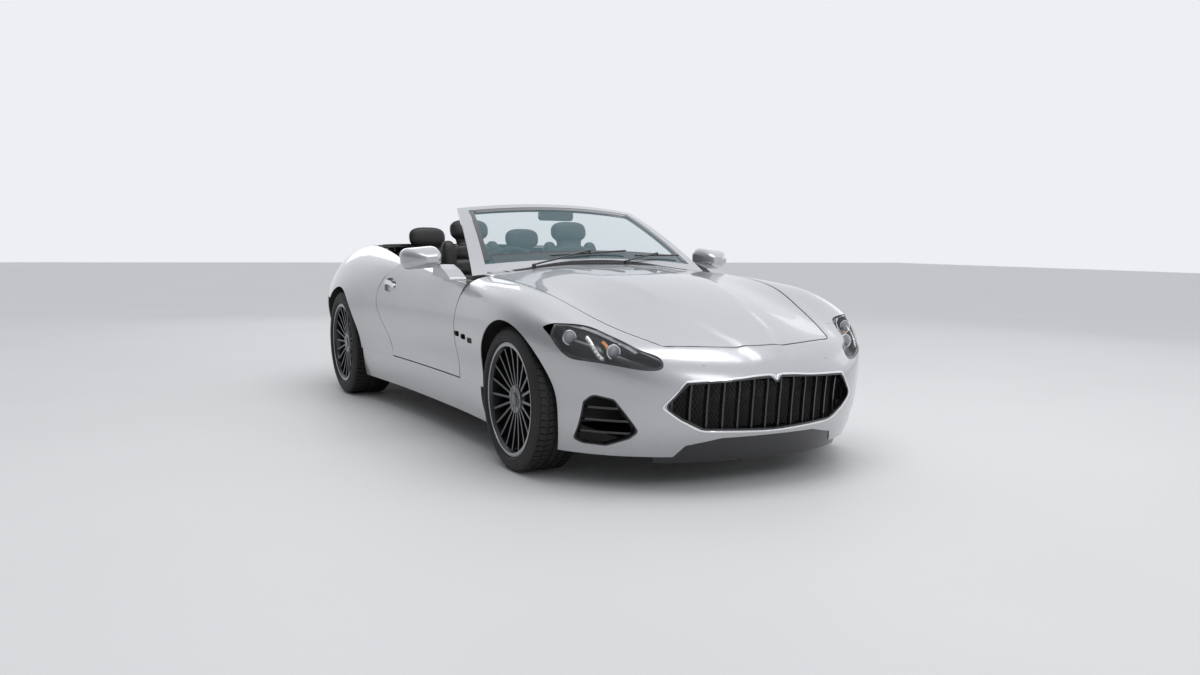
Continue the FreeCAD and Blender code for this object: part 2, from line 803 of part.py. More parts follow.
def door():
    way = Vector(0, 1, 0)
    lip_depth = size("door_lip").value
    whole = size("door_depth").value
    slab = panel(12, 10, door_point, whole, 0, outside_side, way).common(door_outline(0))
    deep = panel(12, 10, door_point, whole, lip_depth, outside_side, way)
    rebate = deep.common(door_outline(30).cut(door_outline(0, DOOR_LEAD, 32, 16)))
    x, y = door_pin
    ears = []
    for z in DOOR_HINGES:
        ear = Part.makeCylinder(14, 24, Vector(x, y, z - 12))
        arm = block(x - 75, x, y - 9, y + 9, z - 12, z + 12)
        bore = Part.makeCylinder(PIN_RADIUS + GAP, 60, Vector(x, y, z - 30))
        ears.append(ear.fuse(arm).cut(bore))
    cup = door_layer(CUP_DEPTH + 8, -8).common(profile_y(CUP, 22, 600, 1200))
    return one_solid(slab.cut(rebate).cut(cup).multiFuse(ears))


def door_layer(depth, start):
    return panel(12, 10, door_point, depth, start, outside_side, Vector(0, 1, 0))


def door_handle():
    """Fixed pull over a cup in the door, on two feet."""
    bar = door_layer(11, -9).common(profile_y(PULL, 10, 600, 1200))
    feet = [door_layer(CUP_DEPTH + 4 - GAP, -4).common(block(x - 9, x + 9, 600, 1200, z - 8, z + 8))
            for x, z in ((-424, 812), (-264, 793))]
    return one_solid(bar.multiFuse([s for foot in feet for s in foot.Solids]))


# Bumpers, grille and lamps

GRILLE = [(0, 258), (346, 276), (442, 323), (512, 380), (473, 425), (424, 488), (30, 505), (0, 476)]
INTAKE = [(782, 218), (768, 392), (744, 427), (680, 411), (589, 269), (613, 235), (683, 195),
          (754, 199)]
CHIN = [(-470, 100), (-400, 205), (-250, 236), (250, 236), (400, 205), (470, 100)]
NOSE_TURN = math.radians(69)


def nose_point(u, v, low, high):
    """Point of the nose at an angle round it and at a height."""
    turn = NOSE_TURN * (2 * u - 1)
    z = low + (high - low) * v
    return cast((NOSE_START, 0, z), (math.cos(turn), math.sin(turn), 0))


def bonnet_front(y):
    across = 0.0
    for _ in range(4):
        across = abs(y) / bonnet_seam(BONNET_FRONT - BONNET_SWEEP * across**2)
    return BONNET_FRONT - BONNET_SWEEP * across**2


def bonnet_passed(point):
    return seam_passed(point) and point.x < bonnet_front(point.y) + SHUT


@lru_cache(maxsize=None)
def bumper_limits(s):
    """Angles of the front bumper's lower edge and of its seam with the bonnet."""
    top = solve(0.1, 1.5, lambda a: bonnet_passed(turned(s, a, FAN_REACH, FAN_HEIGHT)))
    bottom = solve(0.0, 1.3, lambda a: turned(s, -a, FAN_REACH, FAN_HEIGHT).z < BUMPER_BOTTOM)
    return -bottom, top


def bumper_point(u, v):
    s = NOSE_START + FAN * (math.pi / 2 + NOSE_TURN * (1 - 2 * u))
    low, high = bumper_limits(s)
    return turned(s, low + (high - low) * v, FAN_REACH, FAN_HEIGHT)


def rear_bumper_point(u, v):
    turn = math.radians(74) * (2 * u - 1)
    z = BUMPER_BOTTOM + 30 + (REAR_BUMPER_TOP - BUMPER_BOTTOM - 30) * v
    return cast((TAIL_START, 0, z), (-math.cos(turn), math.sin(turn), 0))


def grille_prism(grow):
    half = [(y + (grow if y > 10 else 0) * (0.7 if y > 400 else 0.3),
             z + grow * (1 if z > 440 else (0 if z > 350 else -1))) for y, z in GRILLE]
    points = half + [(-y, z) for y, z in reversed(half[1:-1])]
    return profile_x(points, 28, 1900, 2600)


def intake_prism(grow):
    middle = (695, 310)
    points = []
    for y, z in INTAKE:
        away = math.hypot(y - middle[0], z - middle[1])
        points.append((y + (y - middle[0]) * grow / away, z + (z - middle[1]) * grow / away))
    return profile_x(points, 22, 1960, 2600)


BEAM_FRONT = 2240
BRACKET_Y = (280, 340)
BRACKET_Z = (505, 560)


def front_bumper():
    skin = panel(48, 14, bumper_point, SKIN)
    wings = block(1700, NOSE_SEAM + GAP, -1100, 1100, BUMPER_TOP, 1100)
    for hole in (front_wheel_opening, mirrored(front_wheel_opening), lamp_hole, mirrored(lamp_hole),
                 grille_prism(0), intake_prism(0), mirrored(intake_prism(0)), wings,
                 profile_x(CHIN, 12, 1900, 2600)):
        skin = skin.cut(hole)
    skin = one_solid(skin)
    y = sum(BRACKET_Y) / 2
    reach = cast((NOSE_START, y, BRACKET_Z[1]), (1, 0, 0)).x - SKIN / 2
    brackets = [block(BEAM_FRONT + GAP, reach, *BRACKET_Y, *BRACKET_Z)]
    brackets.append(mirrored(brackets[0]))
    return one_solid(skin.multiFuse(brackets))


TUB_REAR = -2320


def rear_bumper():
    skin = panel(30, 12, rear_bumper_point, SKIN)
    for hole in (rear_wheel_opening, mirrored(rear_wheel_opening)):
        skin = skin.cut(hole)
    y = sum(BRACKET_Y) / 2
    reach = cast((TAIL_START, y, BRACKET_Z[0]), (-1, 0, 0)).x + SKIN / 2
    brackets = [block(reach, TUB_REAR - GAP, *BRACKET_Y, *BRACKET_Z)]
    brackets.append(mirrored(brackets[0]))
    return one_solid(one_solid(skin).multiFuse(brackets))


SLAT_SPACING = 72
SLAT_BEND = 26


def grille():
    """Ring round the opening with upright slats that bow inward."""

    def at(u, v):
        return nose_point(0.5 + (u - 0.5) * 0.62, v, 230, 525)

    ring = panel(16, 8, at, 34, -3).common(grille_prism(-GAP)).cut(grille_prism(-9))
    points = grid(16, 10, at)

    def bowed(depth):
        return [[p - outward(p) * (depth + SLAT_BEND * math.sin(math.pi * j / 10)) for j, p in enumerate(row)]
                for row in points]

    bars = between(bowed(3), bowed(27)).common(grille_prism(-7))
    slats = [bars.common(block(1900, 2600, y - 4, y + 4, 200, 560))
             for y in (SLAT_SPACING * (k + 0.5) * side for k in range(7) for side in (-1, 1))]
    return one_solid(ring.multiFuse([s for slat in slats for s in slat.Solids]))


front_house = drum(size("front_liner") + size("liner_wall") + gap, FRONT_AXLE, FRONT_R, 400, 1100)
rear_house = drum(size("rear_liner") + size("liner_wall") + gap, REAR_AXLE, REAR_R, 400, 1100)


def intake_grille():
    """Frame and three bars set back in the intake beside the grille."""

    def at(u, v):
        return nose_point(0.98 - 0.28 * u, v, 180, 445)

    frame = panel(10, 8, at, 30, 2).common(intake_prism(-GAP)).cut(intake_prism(-7))
    bars = panel(10, 8, at, 8, 22).common(intake_prism(-4))
    rows = [bars.common(block(1900, 2600, 500, 900, z - 5, z + 5)) for z in (255, 310, 365)]
    return one_solid(frame.multiFuse([s for row in rows for s in row.Solids]).cut(front_house))


def splitter():
    """Dark lip under the front bumper, closing the gap over the chin."""
    lip = panel(24, 4, lambda u, v: nose_point(0.5 + (u - 0.5) * 0.5, v, 118, 250), 10, SKIN + GAP)
    return one_solid(lip)


def lamp_layer(depth, start):
    return panel(14, 10, lambda u, v: turned(1790 + 520 * u, math.radians(-4 + 66 * v), FAN_REACH,
                                             FAN_HEIGHT + 20), depth, start)


bonnet_zone = profile_z([(600, 0), (600, 760)] + [
    (x, bonnet_seam(x) + SHUT) for x in range(850, 2226, 55)] + [(2335, 330), (2335, 0)], 500, 1200)


def lamp_cover():
    return one_solid(lamp_layer(COVER, 0.5).common(lamp_prism(2 - GAP)).cut(bonnet_zone))


def headlamp():
    """Dark bucket behind the cover, with two projector barrels."""
    start = 0.5 + COVER + GAP
    bucket = lamp_layer(LAMP_DEPTH - start, start).common(lamp_prism(2 - GAP))
    hollow = lamp_layer(LAMP_DEPTH - 8 - start + 1, start - 1).common(lamp_prism(-4))
    inside = lamp_layer(LAMP_DEPTH - 10, 8)
    barrels = [Part.makeCylinder(PROJECTOR_RADIUS, 160, Vector(x - 160, y, z), Vector(1, 0, 0))
               for x, y, z in PROJECTORS]
    barrels = [s for barrel in barrels for s in barrel.common(inside).common(lamp_prism(0)).Solids]
    return one_solid(bucket.cut(hollow).multiFuse(barrels).cut(bonnet_zone))


def tail_lamp():
    layer = panel(12, 6, lambda u, v: cast((TAIL_START, 0, 670 + 160 * v),
                                           (-math.cos(0.25 + 0.75 * u), math.sin(0.25 + 0.75 * u), 0)),
                  40, 0.5)
    return one_solid(layer.common(tail_lamp_prism(2 - GAP)))


# Side skirts and wheelhouse liners


def side_skirt():
    points = side_points(REAR_AXLE + 300, FRONT_AXLE - 300, SILL_BOTTOM, SILL_TOP, 12, 5)
    skirt = to_plane(points, 0, SILL_OUT + GAP)
    return one_solid(skirt.cut(front_house).cut(rear_house))


def liner(x, z, radius, y_in):
    """Arched wall over a wheel, from an apron out to the wing's inner face."""

    def at(u, v, reach):
        angle = math.radians(-8 + 196 * u)
        px = x + reach * math.cos(angle)
        pz = z + reach * math.sin(angle)
        out = cast((px, 0, pz), (0, 1, 0))
        y_out = out.y - (SKIN + 3) / max(outward(out).y, 0.3)
        return Vector(px, y_in + (y_out - y_in) * v, pz)

    inner = grid(24, 2, lambda u, v: at(u, v, radius))
    outer = grid(24, 2, lambda u, v: at(u, v, radius + size("liner_wall").value))
    return between(inner, outer)


# Windscreen

SCREEN_BASE = ((800, 0, 946), (690, 712, 906))
SCREEN_HEAD = ((95, 0, 1296), (35, 560, 1262))
SCREEN_BULGE = 22
FRAME_SIDE = 0.935
FRAME_TOP = 0.93
FRAME_LOW = 0.08


def screen_point(a, b):
    """Point of the windscreen, from a = -1 to 1 across and b = 0 to 1 up."""
    low = [mid + (edge - mid) * a * a for mid, edge in zip(*SCREEN_BASE)]
    high = [mid + (edge - mid) * a * a for mid, edge in zip(*SCREEN_HEAD)]
    y_low = SCREEN_BASE[1][1] * a
    y_high = SCREEN_HEAD[1][1] * a
    lift = SCREEN_BULGE * 4 * b * (1 - b)
    return Vector(low[0] + (high[0] - low[0]) * b + 0.45 * lift, y_low + (y_high - y_low) * b,
                  low[2] + (high[2] - low[2]) * b + 0.85 * lift)


def screen_normal(a, b):
    step = 0.02
    across = screen_point(a + step, b) - screen_point(a - step, b)
    up = screen_point(a, b + step) - screen_point(a, b - step)
    return across.cross(up).normalize()


def screen_patch(side, low, high, top, bottom):
    """Solid over part of the windscreen, from top to bottom depths under its surface."""

    def at(u, v, depth):
        a = (2 * u - 1) * side
        b = low + (high - low) * v
        return screen_point(a, b) - screen_normal(a, b) * depth

    return between(grid(12, 6, lambda u, v: at(u, v, top)), grid(12, 6, lambda u, v: at(u, v, bottom)))


def windscreen_frame():
    """Header, pillars and the plenum panel that they stand on."""
    frame = screen_patch(1.04, -0.04, 1.0, 0, 30)
    frame = frame.cut(screen_patch(FRAME_SIDE, FRAME_LOW, FRAME_TOP, -40, 80))
    points = grid(4, 12, lambda u, v: cast((845 - 8 - 95 * u, (2 * v - 1) * (COWL - 4), 600), (0, 0, 1)))
    under = [[Vector(p.x, p.y, SHELF_TOP + GAP) for p in row] for row in points]
    plenum = between(points, under)
    x, z = BONNET_PIVOT_X, BONNET_PIVOT_Z
    for y in (-BONNET_PIVOT_Y, BONNET_PIVOT_Y):
        pocket = block(x - 25, 860, y - 18, y + 18, 800, z + 16)
        slot = block(x - 5, 860, y - 11, y + 11, 800, 1000)
        plenum = plenum.cut(pocket).cut(slot)
    for side in (-1, 1):
        swept = Vector(door_pin[0], side * door_pin[1], 800)
        plenum = plenum.cut(Part.makeCylinder(DOOR_SWEEP, 66, swept))
    plenum = plenum.fuse(frame)
    return one_solid(plenum.cut(block(500, 900, -900, 900, 600, SHELF_TOP + GAP)))


def windscreen():
    return screen_patch(FRAME_SIDE - 0.001, FRAME_LOW + 0.001, FRAME_TOP - 0.001, 2, 7)


# Structure under the panels

SHELF_TOP = 850
FIREWALL = 950
APRON_IN = 475
APRON_OUT = 485
POST = (870, 940, 700, 750)
RAIL_LOW = size("rail_height").value
RAIL_OUT = size("rail_out").value
RAIL_IN = RAIL_OUT - size("rail_width").value
RAIL_TOP = RAIL_LOW + size("rail_depth").value
REAR_FLOOR = size("rear_floor").value
REAR_APRON = size("rear_apron").value
SEAT_HEEL = -950
BULKHEAD = -1262
TUB_FRONT = -1765
FLOOR_TOP = FLOOR + SHEET
JACK_POINTS = (700, -700)


def door_brackets():
    """Plates from the front door post to the pins that the doors turn on."""
    x, y = door_pin
    pieces = []
    for z in DOOR_HINGES:
        for low in (z - 12 - 1 - 8, z + 12 + 1):
            plate = profile_z([(x - 13, y - 4), (x + 4, y + 8), (x + 26, y - 32), (x + 42, y - 62),
                               (x + 53, y - 84), (900, 752), (900, 712), (810, 722), (x - 12, y - 72)],
                              low, low + 8)
            pieces.append(plate)
        pieces.append(Part.makeCylinder(PIN_RADIUS, 42, Vector(x, y, z - 21)))
    return pieces


def front_structure():
    half = [block(*POST, FLOOR_TOP + GAP, 660)]
    half += door_brackets()
    half.append(block(FIREWALL, 2200, RAIL_IN, RAIL_OUT, RAIL_LOW, RAIL_TOP))
    half.append(profile_y([(FRONT_AXLE - 430, RAIL_LOW), (FRONT_AXLE - 430, 690), (1880, 690),
                           (FRONT_AXLE + 425, 620), (FRONT_AXLE + 425, RAIL_LOW)], 5, APRON_IN - 6,
                          APRON_OUT))
    half.append(block(POST[0], FIREWALL + SHEET, 600, POST[3], 420, 640))
    x, y, z = BONNET_PIVOT_X, BONNET_PIVOT_Y, BONNET_PIVOT_Z
    half.append(hinge_stand(x, y, z, SHELF_TOP - 5))
    left = half[0].multiFuse(half[1:])
    shelf = block(740, FIREWALL + SHEET, -COWL + 20, COWL - 20, SHELF_TOP - SHEET, SHELF_TOP)
    wall = block(FIREWALL, FIREWALL + SHEET, -COWL + 20, COWL - 20, FLOOR_TOP + GAP, SHELF_TOP)
    beam = block(2180, BEAM_FRONT, 20 - RAIL_OUT, RAIL_OUT - 20, RAIL_TOP - 2, 568)
    return one_solid(wall.multiFuse([left, mirrored(left), shelf, beam]))


def floor_pan():
    """Floor, sills, the step up over the rear axle and its side aprons."""
    floor = block(SEAT_HEEL - SHEET, 1010, -800, 800, FLOOR, FLOOR_TOP)
    step = block(SEAT_HEEL - SHEET, SEAT_HEEL, -760, 760, FLOOR, REAR_FLOOR + SHEET)
    rear = block(TUB_FRONT - SHEET, SEAT_HEEL, -REAR_APRON, REAR_APRON, REAR_FLOOR,
                 REAR_FLOOR + SHEET)
    half = [
        block(SEAT_HEEL, 865, 712, SILL_OUT, FLOOR_TOP - 2, 342),
        block(REAR_AXLE - 420, SEAT_HEEL, REAR_APRON - SHEET, REAR_APRON, REAR_FLOOR, 760),
        block(BULKHEAD, SEAT_HEEL, 700, 708, REAR_FLOOR, 900),
        block(BULKHEAD - SHEET, SEAT_HEEL, REAR_APRON - 5, 706, REAR_FLOOR + 330, REAR_FLOOR + 340),
        block(SEAT_HEEL - SHEET, SEAT_HEEL, REAR_APRON, 708, REAR_FLOOR - 2, REAR_FLOOR + 340),
    ]
    half += [block(x - 30, x + 30, 735, 795, FLOOR - 12, FLOOR + 1) for x in JACK_POINTS]
    left = half[0].multiFuse(half[1:])
    wall = block(BULKHEAD - SHEET, BULKHEAD, -706, 706, REAR_FLOOR + 330, 930)
    low_wall = block(BULKHEAD - SHEET, BULKHEAD, -REAR_APRON, REAR_APRON, REAR_FLOOR, 760)
    pan = floor.multiFuse([step, rear, wall, low_wall, left, mirrored(left)])
    wheelhouse = drum(size("rear_liner") + size("liner_wall") + gap, REAR_AXLE, REAR_R,
                      REAR_APRON + GAP / 2, 1100)
    return one_solid(pan.cut(wheelhouse).cut(mirrored(wheelhouse)))


def boot_tub():
    """Luggage tub behind the axle, with the beam that carries both rear lids."""
    low = 330
    half = 505
    floor = block(TUB_REAR, TUB_FRONT - SHEET - GAP, -half, half, low, low + SHEET)
    front = block(TUB_FRONT - 2 * SHEET - GAP, TUB_FRONT - SHEET - GAP, -half, half, low, 935)
    rear = block(TUB_REAR, TUB_REAR + SHEET, -half, half, low, 640)
    beam = block(TUB_FRONT - SHEET - GAP - 30, -1690, -560, 560, 925, 940)
    parts = [front, rear, beam]
    for side in (-1, 1):
        middle = side * (half - SHEET / 2)
        parts.append(block(TUB_REAR, TUB_FRONT - SHEET - GAP, middle - SHEET / 2, middle + SHEET / 2, low,
                           640))
        parts.append(hinge_stand(COVER_PIVOT_X, side * COVER_PIVOT_Y, COVER_PIVOT_Z, 930))
        parts.append(hinge_stand(BOOT_PIVOT_X, side * BOOT_PIVOT_Y, BOOT_PIVOT_Z, 930))
    return one_solid(floor.multiFuse(parts))

# Pieces made of bound primitives and sketches


def bound(obj, name, length):
    """Give a property its size, tied to the sheet where it comes from there."""
    if isinstance(length, Size):
        obj.setExpression(name, length.text)
    else:
        setattr(obj, name, length)


def placed(obj, x=0, y=0, z=0, axis=None, angle=0):
    """Place an object, tied to the sheet where its place comes from there."""
    turn = Rotation(Vector(*axis), angle) if axis else Rotation()
    obj.Placement = Placement(Vector(value(x), value(y), value(z)), turn)
    for name, length in (("x", x), ("y", y), ("z", z)):
        if isinstance(length, Size):
            obj.setExpression(f"Placement.Base.{name}", length.text)
    return obj


def primitive(kind, **sizes):
    obj = doc.addObject(f"Part::{kind}", kind.lower())
    for name, length in sizes.items():
        bound(obj, name, length)
    return obj


def plate(x0, x1, y0, y1, z0, z1):
    """Bound box between two corners."""
    box = primitive("Box", Length=x1 - x0, Width=y1 - y0, Height=z1 - z0)
    return placed(box, x0, y0, z0)


def rod_y(radius, x, z, y0, y1):
    """Bound cylinder along Y."""
    rod = primitive("Cylinder", Radius=radius, Height=y1 - y0)
    return placed(rod, x, y0, z, (1, 0, 0), -90)


def combined(kind, label, shapes):
    """Fuse or Common of several objects."""
    obj = doc.addObject(f"Part::Multi{kind}", label)
    obj.Shapes = shapes
    obj.Label = label
    return obj


def cut(label, base, tool):
    obj = doc.addObject("Part::Cut", label)
    obj.Base = base
    obj.Tool = tool
    obj.Label = label
    return obj


def twin(label, source):
    """Mirror image of a left piece, for the right side."""
    obj = doc.addObject("Part::Mirroring", label)
    obj.Source = source
    obj.Base = Vector(0, 0, 0)
    obj.Normal = Vector(0, 1, 0)
    obj.Label = label
    return obj


def named(obj, label=None):
    """Mark a finished sub-part."""
    if label:
        obj.Label = label
    nodes.append(obj)
    return obj


def plane_of(body, role):
    return next(f for f in body.Origin.OriginFeatures if f.Role == role)


def sketch_on(body, role, label):
    sketch = body.newObject("Sketcher::SketchObject", label)
    sketch.AttachmentSupport = (plane_of(body, role), [""])
    sketch.MapMode = "FlatFace"
    return sketch


def polygon(sketch, points):
    """Closed outline whose corners are held from the origin by bound distances."""
    count = len(points)
    spots = [Vector(value(a), value(b), 0) for a, b in points]
    for i in range(count):
        sketch.addGeometry(Part.LineSegment(spots[i], spots[(i + 1) % count]), False)
    for i in range(count):
        sketch.addConstraint(Sketcher.Constraint("Coincident", i, 2, (i + 1) % count, 1))
    for i, (a, b) in enumerate(points):
        for kind, length in (("DistanceX", a), ("DistanceY", b)):
            row = sketch.addConstraint(Sketcher.Constraint(kind, -1, 1, i, 1, value(length)))
            if isinstance(length, Size):
                sketch.setExpression(f"Constraints[{row}]", length.text)


def turned_body(label, points):
    """Body of revolution about Y, from an outline of (distance along Y, radius)."""
    body = doc.addObject("PartDesign::Body", label)
    sketch = sketch_on(body, "YZ_Plane", label + "_outline")
    polygon(sketch, points)
    turned_shape = body.newObject("PartDesign::Revolution", label + "_turned")
    turned_shape.Profile = sketch
    turned_shape.ReferenceAxis = (sketch, ["H_Axis"])
    turned_shape.Angle = 360
    body.Label = label
    return body, turned_shape


HUB_BORE = 46
rim_radius = size("rim_radius")
lip = size("rim_lip")
CORNERS = (
    ("fl", front_axle, size("front_track") / 2, size("front_tyre_radius"), size("front_tyre_width")),
    ("rl", rear_axle, size("rear_track") / 2, size("rear_tyre_radius"), size("rear_tyre_width")),
)


def tyre(mark, x, y, radius, width):
    half = width / 2
    bead = half - 18
    wall = rim_radius + lip + 8
    body, turned_tyre = turned_body(f"tyre_{mark}", [
        (-bead, rim_radius + gap), (bead, rim_radius + gap), (bead, rim_radius + lip),
        (half - 1, wall), (half, wall + 18), (half - 5, radius - 22), (half - 22, radius - 4),
        (half * 0.5, radius), (half * -0.5, radius), (22 - half, radius - 4), (5 - half, radius - 22),
        (-half, wall + 18), (1 - half, wall), (-bead, rim_radius + lip),
    ])
    placed(body, x, y, radius)
    return named(body)


def rim(mark, x, y, radius, width):
    """Barrel, lips, hub and slim paired spokes of a wheel."""
    half = width / 2 - 12
    seat = rim_radius
    flange = 6 - gap
    rise = seat + lip - gap
    body, barrel = turned_body(f"rim_{mark}", [
        (-half, seat - 12), (half - 62, seat - 20), (half - 14, seat - 12), (half, seat - 4),
        (half, rise), (half - flange, rise), (half - flange, seat), (flange - half, seat),
        (flange - half, rise), (-half, rise),
    ])
    hub_outline = sketch_on(body, "YZ_Plane", "hub_outline")
    polygon(hub_outline, [(half - 78, 34), (half - 78, 84), (half - 44, 84), (half - 30, 66),
                          (half - 30, 0.1), (half - 44, 0.1), (half - 44, 34)])
    hub = body.newObject("PartDesign::Revolution", "hub")
    hub.Profile = hub_outline
    hub.ReferenceAxis = (hub_outline, ["H_Axis"])
    hub.Angle = 360
    spoke_outline = sketch_on(body, "YZ_Plane", "spoke_outline")
    polygon(spoke_outline, [(half - 66, 70), (half - 34, 70), (half - 20, seat - 60),
                            (half - 12, seat - 9), (half - 40, seat - 14), (half - 48, seat - 60)])
    spoke = body.newObject("PartDesign::Pad", "spoke")
    spoke.Profile = spoke_outline
    spoke.Length = 11
    spoke.Midplane = True
    fan = body.newObject("PartDesign::PolarPattern", "spokes")
    fan.Originals = [spoke]
    fan.Axis = (spoke_outline, ["H_Axis"])
    fan.Angle = 360
    fan.setExpression("Occurrences", "sizes.spoke_count")
    body.Tip = fan
    placed(body, x, y, radius)
    return named(body)


def disc(mark, x, y, radius, width, disc_radius):
    """Vented brake disc with its bell, on the wheel's inner side."""
    face = y + width / 2 - 12 - 78
    inner = face - 62
    thick = size("disc_thickness")
    ring = rod_y(disc_radius, x, radius, inner, inner + thick)
    bell = rod_y(88, x, radius, inner + thick - 1, face - gap)
    solid = combined("Fuse", f"disc_{mark}_blank", [ring, bell])
    bore = rod_y(HUB_BORE, x, radius, inner - 1, face - 12)
    return named(cut(f"brake_disc_{mark}", solid, bore))


for mark, x, y, radius, width in CORNERS:
    disc_radius = size("disc_radius") if mark == "fl" else size("rear_disc_radius")
    left = (tyre(mark, x, y, radius, width), rim(mark, x, y, radius, width),
            disc(mark, x, y, radius, width, disc_radius))
    for piece, name in zip(left, ("tyre", "rim", "brake_disc")):
        named(twin(f"{name}_{mark[0]}r", piece))

# Uprights, calipers and running gear

kingpin_y = size("front_track") / 2 - size("kingpin_inset")
front_disc_in = size("front_track") / 2 + size("front_tyre_width") / 2 - 12 - 78 - 62
rear_disc_in = size("rear_track") / 2 + size("rear_tyre_width") / 2 - 12 - 78 - 62
thick = size("disc_thickness")
front_centre = size("front_tyre_radius")
rear_centre = size("rear_tyre_radius")


def caliper(x, z, disc_in, disc_radius, side):
    """Blocks that straddle a brake disc ahead of or behind its hub."""
    reach = disc_radius + 14
    near = disc_radius - 78
    start = x - reach if side < 0 else x + near
    stop = x - near if side < 0 else x + reach
    block_in = plate(start, stop, disc_in - 38, disc_in - 2, z - 62, z + 72)
    block_out = plate(start, stop, disc_in + thick + 2, disc_in + thick + 30, z - 62, z + 72)
    tip = x - reach - 12 if side < 0 else x + disc_radius + 3
    bridge = plate(tip, tip + 23, disc_in - 38, disc_in + thick + 30, z - 62, z + 72)
    return [block_in, block_out, bridge]


def knuckle():
    x, z = front_axle, front_centre
    spindle = rod_y(HUB_BORE - gap, x, z, kingpin_y - 22, front_disc_in + 45)
    post = placed(primitive("Cylinder", Radius=22, Height=300), x, kingpin_y, z - 130)
    arm = plate(x - 150, x + 10, kingpin_y - 14, kingpin_y + 10, z - 60, z - 36)
    web = plate(x + 10, x + size("disc_radius") - 60, kingpin_y - 14, front_disc_in - 6, z - 30, z + 30)
    pieces = caliper(x, z, front_disc_in, size("disc_radius"), 1)
    return combined("Fuse", "knuckle_fl", [spindle, post, arm, web] + pieces)


named(knuckle())
named(twin("knuckle_fr", nodes[-1]))


def front_subframe():
    """Cross member under the engine with the wishbones of both sides."""
    x, z = front_axle, front_centre
    rail_y = size("rail_out") - 10
    pieces = [plate(x - 60, x + 60, -rail_y, rail_y, z - 112, z - 60)]
    for side in (-1, 1):
        def across(y0, y1):
            return (y0, y1) if side > 0 else (-y1, -y0)

        inner = size("rail_out") - 60
        pieces.append(plate(x - 26, x + 26, *across(inner, kingpin_y - 24), z - 112, z - 84))
        pieces.append(plate(x - 60, x - 20, *across(inner, inner + 50), z - 70,
                            size("rail_height") - gap))
        pieces.append(placed(primitive("Cylinder", Radius=30, Height=26), x,
                             kingpin_y if side > 0 else -kingpin_y, z - 130 - gap - 26))
        pieces.append(plate(x - 26, x + 26, *across(kingpin_y - 60, kingpin_y), z - 130 - gap - 26,
                            z - 130 - gap))
        pieces.append(plate(x - 26, x + 26, *across(kingpin_y - 60, kingpin_y - 34),
                            z - 130 - gap - 26, z - 84))
    return combined("Fuse", "front_subframe", pieces)


named(front_subframe())


def rear_axle_frame():
    """Rear cross member, final drive, drive shafts, uprights and their calipers."""
    x, z = rear_axle, rear_centre
    top = size("rear_floor") - gap
    pieces = [plate(x - 150, x - 90, -460, 460, z - 60, top), plate(x + 90, x + 150, -460, 460, z - 60, top),
              plate(x - 150, x + 150, -120, 120, z - 110, top - 10),
              rod_y(24, x, z, -rear_disc_in - 48, rear_disc_in + 48)]
    for side in (-1, 1):
        def across(y0, y1):
            return (y0, y1) if side > 0 else (-y1, -y0)

        upright = plate(x - 60, x + 60, *across(rear_disc_in - 70, rear_disc_in - 20), z - 90, z + 90)
        arm = plate(x - 140, x - 100, *across(400, rear_disc_in - 20), z - 60, z - 30)
        link = plate(x - 140, x - 40, *across(rear_disc_in - 60, rear_disc_in - 20), z - 60, z - 30)
        pieces += [upright, arm, link]
        for item in caliper(x, z, rear_disc_in, size("rear_disc_radius"), 1):
            if side < 0:
                item = twin("caliper_part", item)
            pieces.append(item)
        pieces.append(plate(x + 50, x + 110, *across(rear_disc_in - 60, rear_disc_in - 30), z - 25, z + 25))
        pieces.append(rod_y(HUB_BORE - gap, x, z, *across(rear_disc_in - 22, rear_disc_in + 45)))
    return combined("Fuse", "rear_axle", pieces)


named(rear_axle_frame())

# Engine, exhaust, cooler

rail_in = size("rail_out") - size("rail_width")
named(plate(FIREWALL + 40, front_axle + 130, gap - rail_in, rail_in - gap, front_centre - 60 + gap, 730),
      "engine")
named(plate(2100, 2180 - gap, -395, 395, 262, 600), "radiator")


def exhaust_pipes():
    """Twin pipes under the floor."""
    radius = 28
    low = FLOOR - GAP - radius
    pipes = []
    for side in (-1, 1):
        start = Vector(-1700, side * 110, low)
        rise = Vector(-1860, side * 110, 250) - start
        pipe = Part.makeCylinder(radius, 2700, start, Vector(1, 0, 0)).multiFuse([
            Part.makeCylinder(radius, rise.Length, start, rise), Part.makeSphere(radius, start)])
        pipes.append(pipe.cut(block(-2270, SILENCER_FRONT + GAP, -420, 420, 100, 400)))
    return Part.makeCompound(pipes)


def silencer():
    """Transverse silencer with two tail pipes."""
    pieces = [block(-2270, SILENCER_FRONT, -420, 420, 195, 330 - GAP)]
    for side in (-1, 1):
        y = side * TAILPIPE_Y
        pieces.append(block(-2180, -1900, min(y * 0.7, y * 1.09), max(y * 0.7, y * 1.09), 200, 290))
        pieces.append(Part.makeCylinder(TAILPIPE_RADIUS, 215, Vector(-2150, y, TAILPIPE_Z),
                                        Vector(-1, 0, 0)))
    solid = pieces[0].multiFuse(pieces[1:])
    for side in (-1, 1):
        start = Vector(-2500, side * TAILPIPE_Y, TAILPIPE_Z)
        solid = solid.cut(Part.makeCylinder(TAILPIPE_BORE, 310, start, Vector(1, 0, 0)))
    return one_solid(solid)


def undertray():
    half = [(1010 + GAP, 800), (1130, 800), (1180, 470), (1990, 470), (2040, 640), (2160, 560),
            (2270, 320), (2300, 0)]
    return profile_z(half + [(x, -y) for x, y in reversed(half[:-1])], FLOOR, FLOOR + 6)


# Cabin

WHEEL_CENTRE = Vector(240, -size("driver_offset").value, 855)
WHEEL_TILT = 22
COLUMN_WAY = Vector(math.cos(math.radians(WHEEL_TILT)), 0, -math.sin(math.radians(WHEEL_TILT)))
HUB_DEPTH = 50


